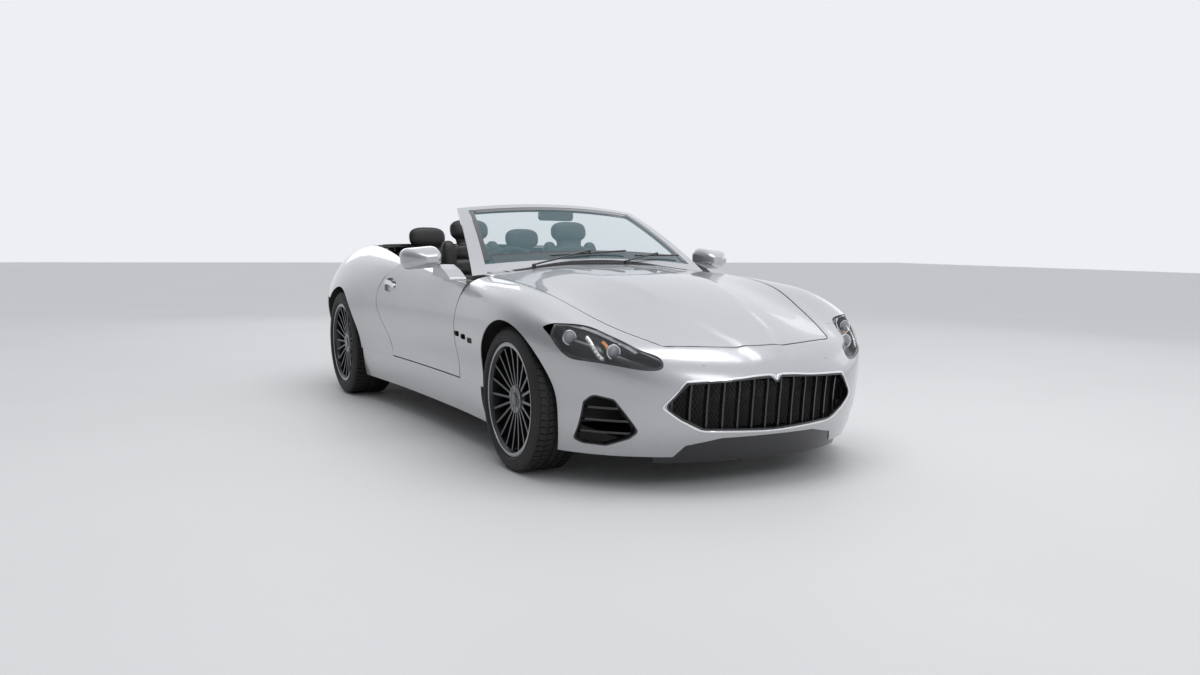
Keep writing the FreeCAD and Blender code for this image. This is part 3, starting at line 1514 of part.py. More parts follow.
def dashboard():
    board = profile_y([(440, 600), (450, 740), (500, 850), (600, 868), (690, 856), (740 - GAP, 849),
                       (740 - GAP, 560)], 14, -665, 665)
    start = WHEEL_CENTRE + COLUMN_WAY * (HUB_DEPTH + GAP)
    column = Part.makeCylinder(36, 240, start, COLUMN_WAY)
    return one_solid(board.fuse(column))


def steering_wheel():
    turn = Rotation(Vector(0, 0, 1), -COLUMN_WAY)
    wheel_radius = size("steering_wheel_radius")
    rim_ring = primitive("Torus", Radius1=wheel_radius, Radius2=size("steering_rim"))
    rim_ring.Placement = Placement(WHEEL_CENTRE, turn)
    hub = primitive("Cylinder", Radius=62, Height=HUB_DEPTH + 8)
    hub.Placement = Placement(WHEEL_CENTRE + COLUMN_WAY * HUB_DEPTH, turn)
    pieces = [rim_ring, hub]
    for angle in (0, 180, -90):
        spoke = primitive("Box", Length=wheel_radius, Width=34, Height=14)
        swing = turn * Rotation(Vector(0, 0, 1), angle + 90)
        spoke.Placement = Placement(WHEEL_CENTRE + swing * Vector(0, -17, -7), swing)
        pieces.append(spoke)
    return combined("Fuse", "steering_wheel", pieces)


def console():
    return profile_y([(-700, FLOOR_TOP + GAP), (-700, 430), (-640, 500), (300, 505), (440 - GAP, 560),
                      (440 - GAP, FLOOR_TOP + GAP)], 12, -115, 115)


def front_seat():
    y = size("driver_offset").value
    cushion = profile_y([(-300, 300), (-300, 450), (190, 480), (262, 465), (270, 340), (230, 300)],
                        38, y - 228, y + 228)
    side = profile_y([(-205, 440), (-358, 1205), (-440, 1205), (-462, 1010), (-350, 400), (-240, 400)],
                     30, y - 228, y + 228)
    shape = profile_x([(y - 228, 395), (y - 228, 820), (y - 180, 960), (y - 134, 1060), (y - 128, 1206),
                       (y + 128, 1206), (y + 134, 1060), (y + 180, 960), (y + 228, 820), (y + 228, 395)],
                      40, -600, 0)
    base = block(-270, 170, y - 190, y + 190, FLOOR_TOP + GAP, 310)
    return one_solid(cushion.multiFuse([side.common(shape), base]))


def rear_seat():
    cushion = profile_y([(SEAT_HEEL - 180, REAR_FLOOR + SHEET + GAP), (-720, REAR_FLOOR + SHEET + GAP),
                         (-712, 560), (-760, 590), (-1120, 560)], 30, -570, 570)
    front = block(SEAT_HEEL + GAP, -745, -560, 560, FLOOR_TOP + GAP, 450)
    back = profile_y([(-1060, 540), (-1165, 985), (BULKHEAD + GAP, 985), (BULKHEAD + GAP, 750),
                      (-1190, 540)], 20, -580, 580)
    rests = [profile_y([(-1160, 970), (-1172, 1160), (-1245, 1160), (-1250, 970)], 28, y - 135, y + 135)
             for y in (-358, 358)]
    return one_solid(cushion.multiFuse([front, back] + rests))


def folded_top():
    return profile_y([(-1774.9, 560), (-1774.9, 900), (-1600, 920), (-1272.6, 900), (-1272.6, 560)], 60,
                     -530, 530)


def interior_mirror():
    glass = profile_x([(-110, 1196), (110, 1196), (110, 1256), (-110, 1256)], 22, 140, 172)
    stem = block(150, 164, -8, 8, 1230, 1300).cut(screen_patch(1.04, -0.04, 1.0, -60, 30 + GAP))
    return one_solid(glass.fuse(one_solid(stem)))


def strut(start, end, radius):
    way = end - start
    return Part.makeCylinder(radius, way.Length, start, way)


def wipers():
    """Two arms that lie along the foot of the windscreen."""
    arms = []
    for foot_y, a0, a1, lift in ((-430, -0.42, 0.28, 1.5), (140, 0.34, 0.86, 0.9)):
        foot = cast((800, foot_y, 600), (0, 0, 1))
        base = foot + Vector(0, 0, lift)
        top = foot + Vector(-8, 0, 17)
        tip = screen_point((a0 + a1) / 2, 0.14) - screen_normal(0, 0.14) * -26
        first = screen_point(a0, 0.10) - screen_normal(a0, 0.1) * -18
        last = screen_point(a1, 0.16) - screen_normal(a1, 0.16) * -18
        arms.append(Part.makeCylinder(11, 19, base).multiFuse([
            strut(top, tip, 5), strut(first, last, 5), strut(tip, (first + last) / 2, 5)]))
    return Part.makeCompound(arms)


def mirror_section(x, wide, high, middle, corner):
    """Rounded outline across a door mirror's housing."""
    y, z = middle
    points = [(y - wide, z - high * 0.8), (y + wide * 0.9, z - high), (y + wide, z + high * 0.7),
              (y - wide, z + high)]
    return rounded(points, corner, lambda a, b: Vector(x, a, b))


def door_mirror():
    """Housing with a recessed glass, on a foot that stands on the door's belt."""
    sections = [(392, 102, 64, (945, 976), 40), (440, 106, 67, (946, 976), 42),
                (505, 92, 56, (940, 975), 38), (556, 62, 36, (928, 972), 26),
                (578, 34, 18, (920, 970), 14)]
    housing = Part.makeLoft([mirror_section(*section) for section in sections], True)
    glass = Part.Face(mirror_section(386, 92, 54, (945, 976), 34)).extrude(Vector(12, 0, 0))
    housing = housing.cut(glass)
    foot = profile_y([(455, 790), (470, 942), (545, 942), (640, 918), (735, 876), (740, 790)], 14,
                     792, 884)
    edge = [Vector(x, 700, belt(x) + GAP) for x in (400, 500, 600, 700, 800)]
    curve = Part.BSplineCurve()
    curve.interpolate(edge)
    corners = [edge[-1], Vector(800, 700, 700), Vector(400, 700, 700), edge[0]]
    wire = Part.Wire([curve.toShape()] + [Part.LineSegment(corners[i], corners[i + 1]).toShape()
                                          for i in range(3)])
    below = Part.Face(wire).extrude(Vector(0, 260, 0))
    return one_solid(housing.fuse(one_solid(foot.cut(below))))


SILENCER_FRONT = -1850
TAILPIPE_Y = 520
TAILPIPE_Z = 250
TAILPIPE_RADIUS = 46
TAILPIPE_BORE = 42

wing = front_wing()
keep_pair("front_wing", wing, ("fl", "fr"))
keep("bonnet", bonnet())
keep("boot_lid", boot_lid())
keep("tonneau_cover", tonneau_cover())
keep_pair("rear_quarter", rear_quarter())
keep_pair("door", door())
keep_pair("door_handle", door_handle())
keep_pair("door_mirror", door_mirror())
keep("front_bumper", front_bumper())
tailpipe_holes = [Part.makeCylinder(TAILPIPE_RADIUS + 6, 600, Vector(-2600, side * TAILPIPE_Y, TAILPIPE_Z),
                                    Vector(1, 0, 0)) for side in (-1, 1)]
keep("rear_bumper", one_solid(rear_bumper().cut(tailpipe_holes[0]).cut(tailpipe_holes[1])))
keep("grille", grille())
keep("intake_grilles", both(intake_grille()))
keep("splitter", splitter())
keep("headlamps", both(headlamp()))
keep("headlamp_covers", both(lamp_cover()))
keep("tail_lamps", both(tail_lamp()))
keep("side_skirts", both(side_skirt()))
keep("front_liners", both(liner(FRONT_AXLE, FRONT_R, size("front_liner").value, APRON_OUT + GAP)))
keep("rear_liners", both(liner(REAR_AXLE, REAR_R, size("rear_liner").value, REAR_APRON + GAP)))
keep("windscreen_frame", windscreen_frame())
keep("windscreen", windscreen())
keep("front_structure", front_structure())
keep("floor_pan", floor_pan())
keep("boot_tub", boot_tub())
keep("undertray", undertray())
keep("exhaust_pipes", exhaust_pipes())
keep("silencer", silencer())
keep("dashboard", dashboard())
named(steering_wheel())
keep("console", console())
seat = front_seat()
keep_pair("front_seat", seat)
keep("rear_seat", rear_seat())
keep("folded_top", folded_top())
keep("interior_mirror", interior_mirror())
keep("wipers", wipers())

# Check and write

doc.recompute()
problems = [obj.Label for obj in doc.Objects if "Invalid" in obj.State or "Error" in obj.State]
for node in nodes:
    shape = node.Shape
    if shape.isNull() or not shape.isValid() or not shape.Solids:
        problems.append(node.Label)
if problems:
    raise RuntimeError("failed: " + ", ".join(problems))
for node in nodes:
    node.Shape.exportStep(f"parts/{node.Label}.step")
    print(node.Label, len(node.Shape.Solids), round(node.Shape.Volume / 1e6, 2))
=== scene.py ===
# %% [markdown]
# # Open grand touring car: looks
#
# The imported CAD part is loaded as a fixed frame. Each cell below adds one group of pieces or
# one material, on top of the bodies that move. Lengths are metres, +X to the nose, +Z up.

import json
import math

import bmesh
import bpy
import numpy as np
from mathutils import Matrix, Vector
from mathutils.bvhtree import BVHTree


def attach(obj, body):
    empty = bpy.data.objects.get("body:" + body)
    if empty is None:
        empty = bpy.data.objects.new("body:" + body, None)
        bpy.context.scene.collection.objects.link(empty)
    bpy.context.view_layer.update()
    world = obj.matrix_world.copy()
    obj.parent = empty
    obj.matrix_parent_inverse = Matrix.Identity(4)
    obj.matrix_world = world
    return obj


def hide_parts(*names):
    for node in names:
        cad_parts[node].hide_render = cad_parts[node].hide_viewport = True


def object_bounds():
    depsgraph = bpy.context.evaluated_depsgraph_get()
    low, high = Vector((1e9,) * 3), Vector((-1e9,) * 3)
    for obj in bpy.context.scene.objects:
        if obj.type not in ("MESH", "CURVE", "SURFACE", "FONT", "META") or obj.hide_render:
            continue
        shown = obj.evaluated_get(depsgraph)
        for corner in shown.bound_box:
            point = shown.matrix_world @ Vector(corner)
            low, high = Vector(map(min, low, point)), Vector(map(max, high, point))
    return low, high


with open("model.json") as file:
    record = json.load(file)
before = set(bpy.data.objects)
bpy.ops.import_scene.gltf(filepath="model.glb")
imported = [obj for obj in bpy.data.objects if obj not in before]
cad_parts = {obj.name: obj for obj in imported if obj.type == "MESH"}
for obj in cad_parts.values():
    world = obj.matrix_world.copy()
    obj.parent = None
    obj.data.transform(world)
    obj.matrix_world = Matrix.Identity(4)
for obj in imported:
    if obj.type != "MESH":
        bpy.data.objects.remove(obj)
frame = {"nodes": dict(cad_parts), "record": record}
bounds_at_load = [list(corner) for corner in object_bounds()]
NODES = frame["nodes"]
print("nodes:", len(NODES), "box:", bounds_at_load)


# %% Wiring nodes
def wired(tree, kind, settings, inputs):
    """Add a node of a kind, set it, and give each input a constant or another node's output."""
    made = tree.nodes.new(kind)
    for key, setting in settings.items():
        setattr(made, key, setting)
    for key, source in inputs.items():
        if isinstance(source, bpy.types.NodeSocket):
            tree.links.new(source, made.inputs[key])
        else:
            made.inputs[key].default_value = source
    return made.outputs


# %% [markdown]
# ## Camera and stage
#
# The camera was fitted to the photograph's wheels, seams and outline: it stands by the
# car's front right corner, a little above the belt, and looks back along its side.

# %% Camera
SENSOR = 36.0
LENS = 31.97
CAMERA_PLACE = Vector((6.1967, -2.8069, 1.0852))
CAMERA_YAW = math.radians(148.253)
CAMERA_PITCH = math.radians(-8.703)
CAMERA_ROLL = math.radians(0.740)
CAMERA_SHIFT = (-0.0689, 0.0554)
CAMERA_REACH = 200

forward = Vector((
    math.cos(CAMERA_YAW) * math.cos(CAMERA_PITCH),
    math.sin(CAMERA_YAW) * math.cos(CAMERA_PITCH),
    math.sin(CAMERA_PITCH),
))
level_right = forward.cross(Vector((0, 0, 1))).normalized()
level_up = level_right.cross(forward)
right = level_right * math.cos(CAMERA_ROLL) + level_up * math.sin(CAMERA_ROLL)
up = level_up * math.cos(CAMERA_ROLL) - level_right * math.sin(CAMERA_ROLL)

lens = bpy.data.cameras.new("camera")
lens.sensor_width = SENSOR
lens.lens = LENS
lens.shift_x, lens.shift_y = CAMERA_SHIFT
lens.clip_end = CAMERA_REACH
camera = bpy.data.objects.new("camera", lens)
bpy.context.scene.collection.objects.link(camera)
turn = Matrix((right, up, -forward)).transposed().to_4x4()
camera.matrix_world = Matrix.Translation(CAMERA_PLACE) @ turn
bpy.context.scene.camera = camera
print("camera at", tuple(CAMERA_PLACE), "with a lens of", LENS, "mm")

# %% [markdown]
# A wide pale floor and large soft lamps stand in for a studio. The paint is what shows the
# car's form, so the lamps are long and gentle, and give it slow highlights to bend. The sky
# is darker to the car's right, which turns the paint of that side silver.

# %% Floor
FLOOR_HALF = 40
FLOOR_HEIGHT = bounds_at_load[0][2] - 0.0005


def square(name, half, height):
    """Flat square at a height, in the scene."""
    mesh = bpy.data.meshes.new(name)
    corners = [(-half, -half, height), (half, -half, height), (half, half, height),
               (-half, half, height)]
    mesh.from_pydata(corners, [], [(0, 1, 2, 3)])
    made = bpy.data.objects.new(name, mesh)
    bpy.context.scene.collection.objects.link(made)
    return made


floor = square("floor", FLOOR_HALF, FLOOR_HEIGHT)
print("floor at", round(FLOOR_HEIGHT, 4))

# %% Lamps
LAMPS = {  # name: place, target, size, watts
    "ceiling": ((1.6, 0, 6.0), (1.0, 0, 0.6), (6, 3), 130),
    "nose_side": ((8.5, 0.5, 4.4), (1.8, 0, 0.7), (3, 2), 45),
    "far_side": ((-1.0, 8.0, 3.2), (0, 0, 0.6), (8, 3), 30),
    "behind": ((-8.0, 1.0, 3.2), (-1.5, 0, 0.7), (4, 2.5), 30),
}


def area_lamp(name, place, target, size, watts):
    """A soft rectangular lamp that faces a point."""
    light = bpy.data.lights.new(name, "AREA")
    light.shape = "RECTANGLE"
    light.size, light.size_y = size
    light.energy = watts
    made = bpy.data.objects.new(name, light)
    bpy.context.scene.collection.objects.link(made)
    way = (Vector(target) - Vector(place)).normalized()
    facing = way.to_track_quat("-Z", "Y").to_matrix().to_4x4()
    made.matrix_world = Matrix.Translation(place) @ facing


for name, row in LAMPS.items():
    area_lamp(name, *row)
print("lamps:", ", ".join(LAMPS))

# %% Sky
SKY_STRENGTH = 0.90
SKY_RIGHT = (0.24, 0.245, 0.255, 1)
SKY_ROUND = (0.94, 0.96, 1.0, 1)
SKY_CHANGE = (-0.75, -0.05)  # from one tone to the other, along Y of the direction


def studio_sky():
    """World whose tone depends on the direction's Y alone."""
    world = bpy.data.worlds.new("studio")
    world.use_nodes = True
    tree = world.node_tree
    way = wired(tree, "ShaderNodeTexCoord", {}, {})["Generated"]
    heading = wired(tree, "ShaderNodeSeparateXYZ", {}, {0: way})["Y"]
    limits = dict(zip(("From Min", "From Max"), SKY_CHANGE))
    share = wired(tree, "ShaderNodeMapRange", {}, {**limits, "Value": heading})[0]
    tone = wired(tree, "ShaderNodeMix", {"data_type": "RGBA"},
                 {"A": SKY_RIGHT, "B": SKY_ROUND, "Factor": share})["Result"]
    sky = tree.nodes["Background"]
    sky.inputs["Strength"].default_value = SKY_STRENGTH
    tree.links.new(tone, sky.inputs["Color"])
    return world


bpy.context.scene.world = studio_sky()
bpy.context.scene.view_settings.view_transform = "Standard"
print("sky strength", SKY_STRENGTH)

# %% [markdown]
# ## Material recipes
#
# Shader arithmetic reads like ordinary Python here: `Value` wraps a socket, and each
# operator adds one Math node. Every other node comes from `Recipe.node`.

# %% Shader arithmetic
class Value:
    """A shader socket that Python's operators can combine."""

    def __init__(self, recipe, socket):
        self.recipe = recipe
        self.socket = socket

    def math(self, operation, *others):
        inputs = dict(enumerate((self, *others)))
        return self.recipe.node("ShaderNodeMath", {"operation": operation}, inputs)

    def __add__(self, other):
        return self.math("ADD", other)

    def __mul__(self, other):
        return self.math("MULTIPLY", other)


# %% Recipes
class Recipe:
    """One finish: its material, its shader and the patterns that vary them."""

    def __init__(self, name, **constants):
        self.material = bpy.data.materials.new(name)
        self.material.use_nodes = True
        self.tree = self.material.node_tree
        self.shader = self.tree.nodes["Principled BSDF"]
        for key, number in constants.items():
            self.shader.inputs[key.replace("_", " ")].default_value = number

    def node(self, kind, settings=None, inputs=None, output=0):
        """Add a node of a kind, set it, feed its sockets, and give one output back."""
        sources = {key: source.socket if isinstance(source, Value) else source
                   for key, source in (inputs or {}).items()}
        return Value(self, wired(self.tree, kind, settings or {}, sources)[output])

    def feed(self, name, source):
        """Let a pattern drive one of the shader's sockets."""
        self.tree.links.new(source.socket, self.shader.inputs[name])

    def place(self):
        return self.node("ShaderNodeTexCoord", output="Object")

    def noise(self, scale, detail=2.0):
        return self.node("ShaderNodeTexNoise", None,
                         {"Vector": self.place(), "Scale": scale, "Detail": detail})

    def blend(self, factor, first, second):
        """Colour between two colours, by a pattern from 0 to 1."""
        return self.node("ShaderNodeMix", {"data_type": "RGBA"},
                         {"Factor": factor, "A": first, "B": second}, "Result")

    def dent(self, height, strength, distance):
        """Let a pattern of heights bend the light as fine relief would."""
        settings = {"Height": height, "Strength": strength, "Distance": distance}
        self.feed("Normal", self.node("ShaderNodeBump", None, settings, "Normal"))


def grey(level):
    return (level, level, level, 1)


FINISH = {}

# %% [markdown]
# Metallic paint is a pale base full of tiny mirror flakes, under a hard clear coat. The
# flakes are a very fine noise in the metallic value and in the roughness.

# %% Body paint
PAINT_TONES = ((0.50, 0.51, 0.53, 1), (0.54, 0.545, 0.56, 1))
FLAKES_PER_METRE = 2600

paint = Recipe("silver_white_paint", Base_Color=(0.62, 0.63, 0.65, 1), Metallic=0.35,
               Roughness=0.34, Coat_Weight=1.0, Coat_Roughness=0.02, Coat_IOR=1.5)
flakes = paint.noise(FLAKES_PER_METRE, 0.0)
paint.feed("Metallic", flakes * 0.5 + 0.42)
paint.feed("Base Color", paint.blend(paint.noise(1.2, 1.0), *PAINT_TONES))
paint.feed("Roughness", flakes * 0.12 + 0.24)
FINISH["body_paint"] = paint.material
print("paint nodes:", len(paint.tree.nodes))

# %% Plastics, metals and lamp parts
METAL = {"Metallic": 1.0}
COATED = {"Coat_Weight": 1.0}
FINISHES = {  # slot: material's name, colour, roughness, grain per metre, relief in metres, rest
    "black_trim": ("gloss_black", (0.012, 0.012, 0.013), 0.16, 40, 0.00002, {"Coat_Weight": 0.6}),
    "liner_plastic": ("liner_plastic", (0.018, 0.018, 0.018), 0.72, 700, 0.0005, {}),
    "chassis_metal": ("sealed_metal", (0.045, 0.046, 0.048), 0.55, 260, 0.0003,
                      {"Metallic": 0.2}),
    "exhaust_steel": ("stainless", (0.42, 0.40, 0.37), 0.32, 90, 0.0001, METAL),
    "cast_metal": ("cast_metal", (0.30, 0.30, 0.31), 0.48, 900, 0.0004, {"Metallic": 0.9}),
    "brake_iron": ("machined_iron", (0.33, 0.32, 0.31), 0.34, 500, 0.0001, METAL),
    "dark_alloy": ("graphite_lacquer", (0.028, 0.029, 0.032), 0.30, 60, 0.00004,
                   {"Metallic": 0.75, "Coat_Weight": 0.7}),
    "turned_alloy": ("turned_alloy", (0.34, 0.345, 0.355), 0.26, 700, 0.00003, METAL),
    "bright_steel": ("bright_steel", (0.50, 0.50, 0.51), 0.28, 300, 0.00005, METAL),
    "bright_trim": ("chrome", (0.86, 0.87, 0.88), 0.05, 30, 0.00001, METAL),
    "lamp_housing": ("lamp_housing", (0.008, 0.008, 0.009), 0.24, 60, 0.00003,
                     {"Coat_Weight": 0.4}),
    "tyre_rubber": ("tyre_rubber", (0.012, 0.012, 0.012), 0.62, 1200, 0.0003, {}),
    "cabin_leather": ("cabin_leather", (0.016, 0.015, 0.015), 0.46, 420, 0.0004, {}),
    "seat_leather": ("seat_leather", (0.020, 0.018, 0.018), 0.42, 420, 0.0005, {}),
    "top_fabric": ("top_fabric", (0.014, 0.014, 0.016), 0.88, 900, 0.0006, {}),
    "red_lamp": ("red_lamp", (0.20, 0.002, 0.004), 0.10, 60, 0.00002, COATED),
    "lens_glass": ("projector_lens", (0.20, 0.22, 0.25), 0.03, 30, 0.00001, COATED),
    "lamp_white": ("lamp_white", (0.86, 0.88, 0.90), 0.12, 60, 0.00002, COATED),
    "amber_lamp": ("amber_lamp", (0.80, 0.26, 0.02), 0.14, 60, 0.00002, COATED),
    "mirror_silver": ("mirror_silver", (0.78, 0.80, 0.82), 0.015, 20, 0.000001, METAL),
    "dark_glass": ("dark_glass", (0.010, 0.011, 0.013), 0.05, 30, 0.000001, COATED),
}


def grained(name, colour, roughness, grain, relief, constants):
    """A moulded surface: fine grain in the relief and a slow change in the gloss."""
    recipe = Recipe(name, Base_Color=(*colour, 1), Roughness=roughness, **constants)
    speckle = recipe.noise(grain, 3.0)
    recipe.dent(speckle, 0.35, relief)
    recipe.feed("Roughness", recipe.noise(9, 2.0) * 0.12 + (roughness - 0.06))
    light = tuple(min(1, channel * 1.18 + 0.002) for channel in colour)
    recipe.feed("Base Color", recipe.blend(recipe.noise(grain * 0.35), (*colour, 1), (*light, 1)))
    return recipe.material


for slot, row in FINISHES.items():
    FINISH[slot] = grained(*row)
print("finishes:", len(FINISH))

# %% Clear glass
CLEAR = {  # slot: material's name, tint, share that hides what lies behind
    "clear_glass": ("clear_glass", (0.22, 0.38, 0.42, 1), 0.20),
    "lamp_glass": ("lamp_cover", (0.30, 0.32, 0.34, 1), 0.07),
}

for slot, (name, tint, alpha) in CLEAR.items():
    pane = Recipe(name, Base_Color=tint, Roughness=0.02, Alpha=alpha, IOR=1.5)
    FINISH[slot] = pane.material
print("glass:", ", ".join(CLEAR))

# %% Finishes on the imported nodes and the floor
SLOTS = {row["slot"] for row in frame["record"]["materials"]}

for row in frame["record"]["subparts"]:
    node = NODES[row["node"]]
    node.data.materials.clear()
    node.data.materials.append(FINISH[row["material_slot"]])
    for polygon in node.data.polygons:
        polygon.material_index = 0

floor_finish = Recipe("studio_floor", Base_Color=(0.70, 0.70, 0.70, 1), Roughness=0.6)
patches = floor_finish.noise(0.8, 1.0)
floor_finish.feed("Base Color", floor_finish.blend(patches, grey(0.70), grey(0.74)))
floor.data.materials.append(floor_finish.material)

# %% [markdown]
# ## Mesh helpers
#
# Every trim piece of a car follows another surface, so the helpers cast rays on the packed
# panels to find where things go, and carry small sections along the paths that they find.

# %% Shapes built from points and faces
def turns(count):
    """Even angles round a circle."""
    return [2 * math.pi * k / count for k in range(count)]


class Shape:
    """Points and faces that grow piece by piece, in metres."""

    def __init__(self):
        self.points = []
        self.faces = []

    def add(self, points, faces):
        start = len(self.points)
        self.points += [Vector(p) for p in points]
        self.faces += [[start + i for i in face] for face in faces]
        return self

    def rings(self, rings, closed=True, capped=True, looped=False):
        """Skin over loops of equal count."""
        count = len(rings[0])
        points = [p for ring in rings for p in ring]
        faces = []
        last = len(rings) if looped else len(rings) - 1
        for i in range(last):
            a = i * count
            b = (i + 1) % len(rings) * count
            for j in range(count if closed else count - 1):
                k = (j + 1) % count
                faces.append((a + j, a + k, b + k, b + j))
        if capped and not looped:
            faces.append(tuple(range(count))[::-1])
            faces.append(tuple(range(len(points) - count, len(points))))
        return self.add(points, faces)

    def sweep(self, path, section, normals=Vector((0, 0, 1)), looped=False):
        """Carry a closed section (across, out) along a path, with one normal or many."""
        rings = []
        count = len(path)
        normals = [normals] * count if isinstance(normals, Vector) else normals
        for i, p in enumerate(path):
            ahead = path[(i + 1) % count] if looped or i + 1 < count else path[i]
            back = path[i - 1] if looped or i else path[i]
            along = (ahead - back).normalized()
            across = along.cross(normals[i]).normalized()
            out = across.cross(along).normalized()
            rings.append([p + across * a + out * b for a, b in section])
        return self.rings(rings, looped=looped)

    def turn(self, outline, centre, axis=Vector((0, 1, 0)), steps=96, side=1):
        """Body of revolution from an outline of (along, radius)."""
        first = axis.orthogonal().normalized()
        second = axis.cross(first)
        rings = []
        for angle in turns(steps):
            spoke = first * math.cos(angle) + second * math.sin(angle)
            rings.append([centre + axis * (a * side) + spoke * r for a, r in outline])
        return self.rings(rings, closed=False, looped=True)

    def box(self, low, high):
        x0, y0, z0 = low
        x1, y1, z1 = high
        points = [(x, y, z) for x in (x0, x1) for y in (y0, y1) for z in (z0, z1)]
        return self.add(points, [(0, 1, 3, 2), (4, 6, 7, 5), (0, 4, 5, 1), (2, 3, 7, 6),
                                 (0, 2, 6, 4), (1, 5, 7, 3)])

    def mirrored(self):
        """The same on the other side of the car."""
        points = [Vector((p.x, -p.y, p.z)) for p in self.points]
        return Shape().add(points, [face[::-1] for face in self.faces])

    def both(self):
        """This shape on both sides of the car."""
        other = self.mirrored()
        return self.add(other.points, other.faces)


# %% Sections to carry along a path, and thin panels
def disc_section(radius, sides):
    return [(radius * math.cos(angle), radius * math.sin(angle)) for angle in turns(sides)]


def band_section(wide, high, sink=0.0):
    """Low bar with rounded upper corners."""
    return [(-wide / 2, -sink), (-wide / 2, high * 0.6), (-wide * 0.36, high),
            (wide * 0.36, high), (wide / 2, high * 0.6), (wide / 2, -sink)]


def over(low, high, columns, rows):
    """Even places over a rectangle, row after row."""
    return [(low[0] + (high[0] - low[0]) * i / columns, low[1] + (high[1] - low[1]) * j / rows)
            for j in range(rows + 1) for i in range(columns + 1)]


def slab(front, back, columns, rows):
    """Close two equal grids of points, row after row, into a thin panel."""
    count = columns + 1
    faces = []
    for j in range(rows):
        for i in range(columns):
            a = j * count + i
            faces.append((a, a + 1, a + count + 1, a + count))
    flipped = [tuple(len(front) + k for k in face[::-1]) for face in faces]
    edge = list(range(count)) + [j * count + columns for j in range(1, rows + 1)]
    edge += [rows * count + i for i in range(columns - 1, -1, -1)]
    edge += [j * count for j in range(rows - 1, 0, -1)]
    sides = [(a, len(front) + a, len(front) + b, b) for a, b in zip(edge, edge[1:] + edge[:1])]
    return Shape().add(front + back, faces + flipped + sides)


# %% From shapes to pieces
WELD_REACH = 2e-6
SHARP_EDGE = 0.6  # radians, for what a bevel takes


def fresh(name, mesh, finish, body):
    """Give a mesh its object, finish and body."""
    made = bpy.data.objects.new(name, mesh)
    bpy.context.scene.collection.objects.link(made)
    made.data.materials.clear()
    made.data.materials.append(FINISH[finish])
    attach(made, body)
    finish in SLOTS
    return made


def piece(name, shape, finish, body="chassis", bevel=0.0, crease=35, smooth=True):
    """Turn a shape into a finished piece with outward normals."""
    mesh = bpy.data.meshes.new(name)
    mesh.from_pydata([tuple(p) for p in shape.points], [], shape.faces)
    work = bmesh.new()
    work.from_mesh(mesh)
    bmesh.ops.remove_doubles(work, verts=work.verts, dist=WELD_REACH)
    bmesh.ops.recalc_face_normals(work, faces=work.faces)
    if bevel:
        sharp = [edge for edge in work.edges
                 if edge.is_manifold and edge.calc_face_angle() > SHARP_EDGE]
        bmesh.ops.bevel(work, geom=sharp, offset=bevel, segments=2, affect="EDGES", profile=0.5)
    for face in work.faces:
        face.smooth = smooth
    work.to_mesh(mesh)
    work.free()
    if smooth:
        mesh.set_sharp_from_angle(angle=math.radians(crease))
    return fresh(name, mesh, finish, body)


def holding(name, mesh):
    """A passing object that carries modifiers."""
    holder = bpy.data.objects.new(name, mesh)
    bpy.context.scene.collection.objects.link(holder)
    return holder


def settled(name, holder, finish, body):
    """Keep what the modifiers of a passing object make, as a plain piece."""
    graph = bpy.context.evaluated_depsgraph_get()
    mesh = bpy.data.meshes.new_from_object(holder.evaluated_get(graph))
    bpy.data.objects.remove(holder)
    return fresh(name, mesh, finish, body)


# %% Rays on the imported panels
DOWN = Vector((0, 0, -1))
TREES = {}


def skin(*names):
    """Search tree over some CAD nodes."""
    if names not in TREES:
        points, faces = [], []
        for name in names:
            mesh = NODES[name].data
            start = len(points)
            points += [v.co.copy() for v in mesh.vertices]
            faces += [[start + i for i in polygon.vertices] for polygon in mesh.polygons]
        TREES[names] = BVHTree.FromPolygons(points, faces)
    return TREES[names]


def meet(names, start, way, lift=0.0):
    """Where a ray first meets some nodes, raised along the surface's normal there."""
    spot, normal, _, _ = skin(*names).ray_cast(Vector(start), Vector(way).normalized(), 12)
    if spot is None:
        raise RuntimeError(f"no surface of {names} from {tuple(start)}")
    if normal.dot(Vector(way)) > 0:
        normal = -normal
    return spot + normal * lift, normal


def along(points, count):
    """Even points on a smooth curve through a few."""
    points = [Vector(p) for p in points]
    dense = []
    for i in range(len(points) - 1):
        p0 = points[max(i - 1, 0)]
        p1, p2 = points[i], points[i + 1]
        p3 = points[min(i + 2, len(points) - 1)]
        for k in range(16):
            t = k / 16
            dense.append(0.5 * ((2 * p1) + (p2 - p0) * t
                                + (2 * p0 - 5 * p1 + 4 * p2 - p3) * t * t
                                + (3 * p1 - p0 - 3 * p2 + p3) * t**3))
    dense.append(points[-1])
    reach = [0.0]
    for a, b in zip(dense, dense[1:]):
        reach.append(reach[-1] + (b - a).length)
    found = []
    j = 0
    for i in range(count):
        want = reach[-1] * i / (count - 1)
        while j < len(reach) - 2 and reach[j + 1] < want:
            j += 1
        share = (want - reach[j]) / max(reach[j + 1] - reach[j], 1e-9)
        found.append(dense[j].lerp(dense[j + 1], min(max(share, 0), 1)))
    return found


# %% [markdown]
# ## Tyres
#
# A road tyre is a turned shape: beads, a sidewall with a rim protector, and a tread cut by
# grooves. The carcass is turned from a profile. Its tread blocks repeat round it, so a Geometry
# Nodes tree sets them on a circle, one row at a time.

# %% Wheel places
WHEELS = {  # mark: x and y of the centre, radius, width
    "fl": (1.575, 0.793, 0.340, 0.245),
    "fr": (1.575, -0.793, 0.340, 0.245),
    "rl": (-1.367, 0.795, 0.354, 0.285),
    "rr": (-1.367, -0.795, 0.354, 0.285),
}
RIM_SEAT = 0.254
TREAD = 0.0065
TREAD_SINK = 0.0007
print("wheels:", ", ".join(WHEELS))


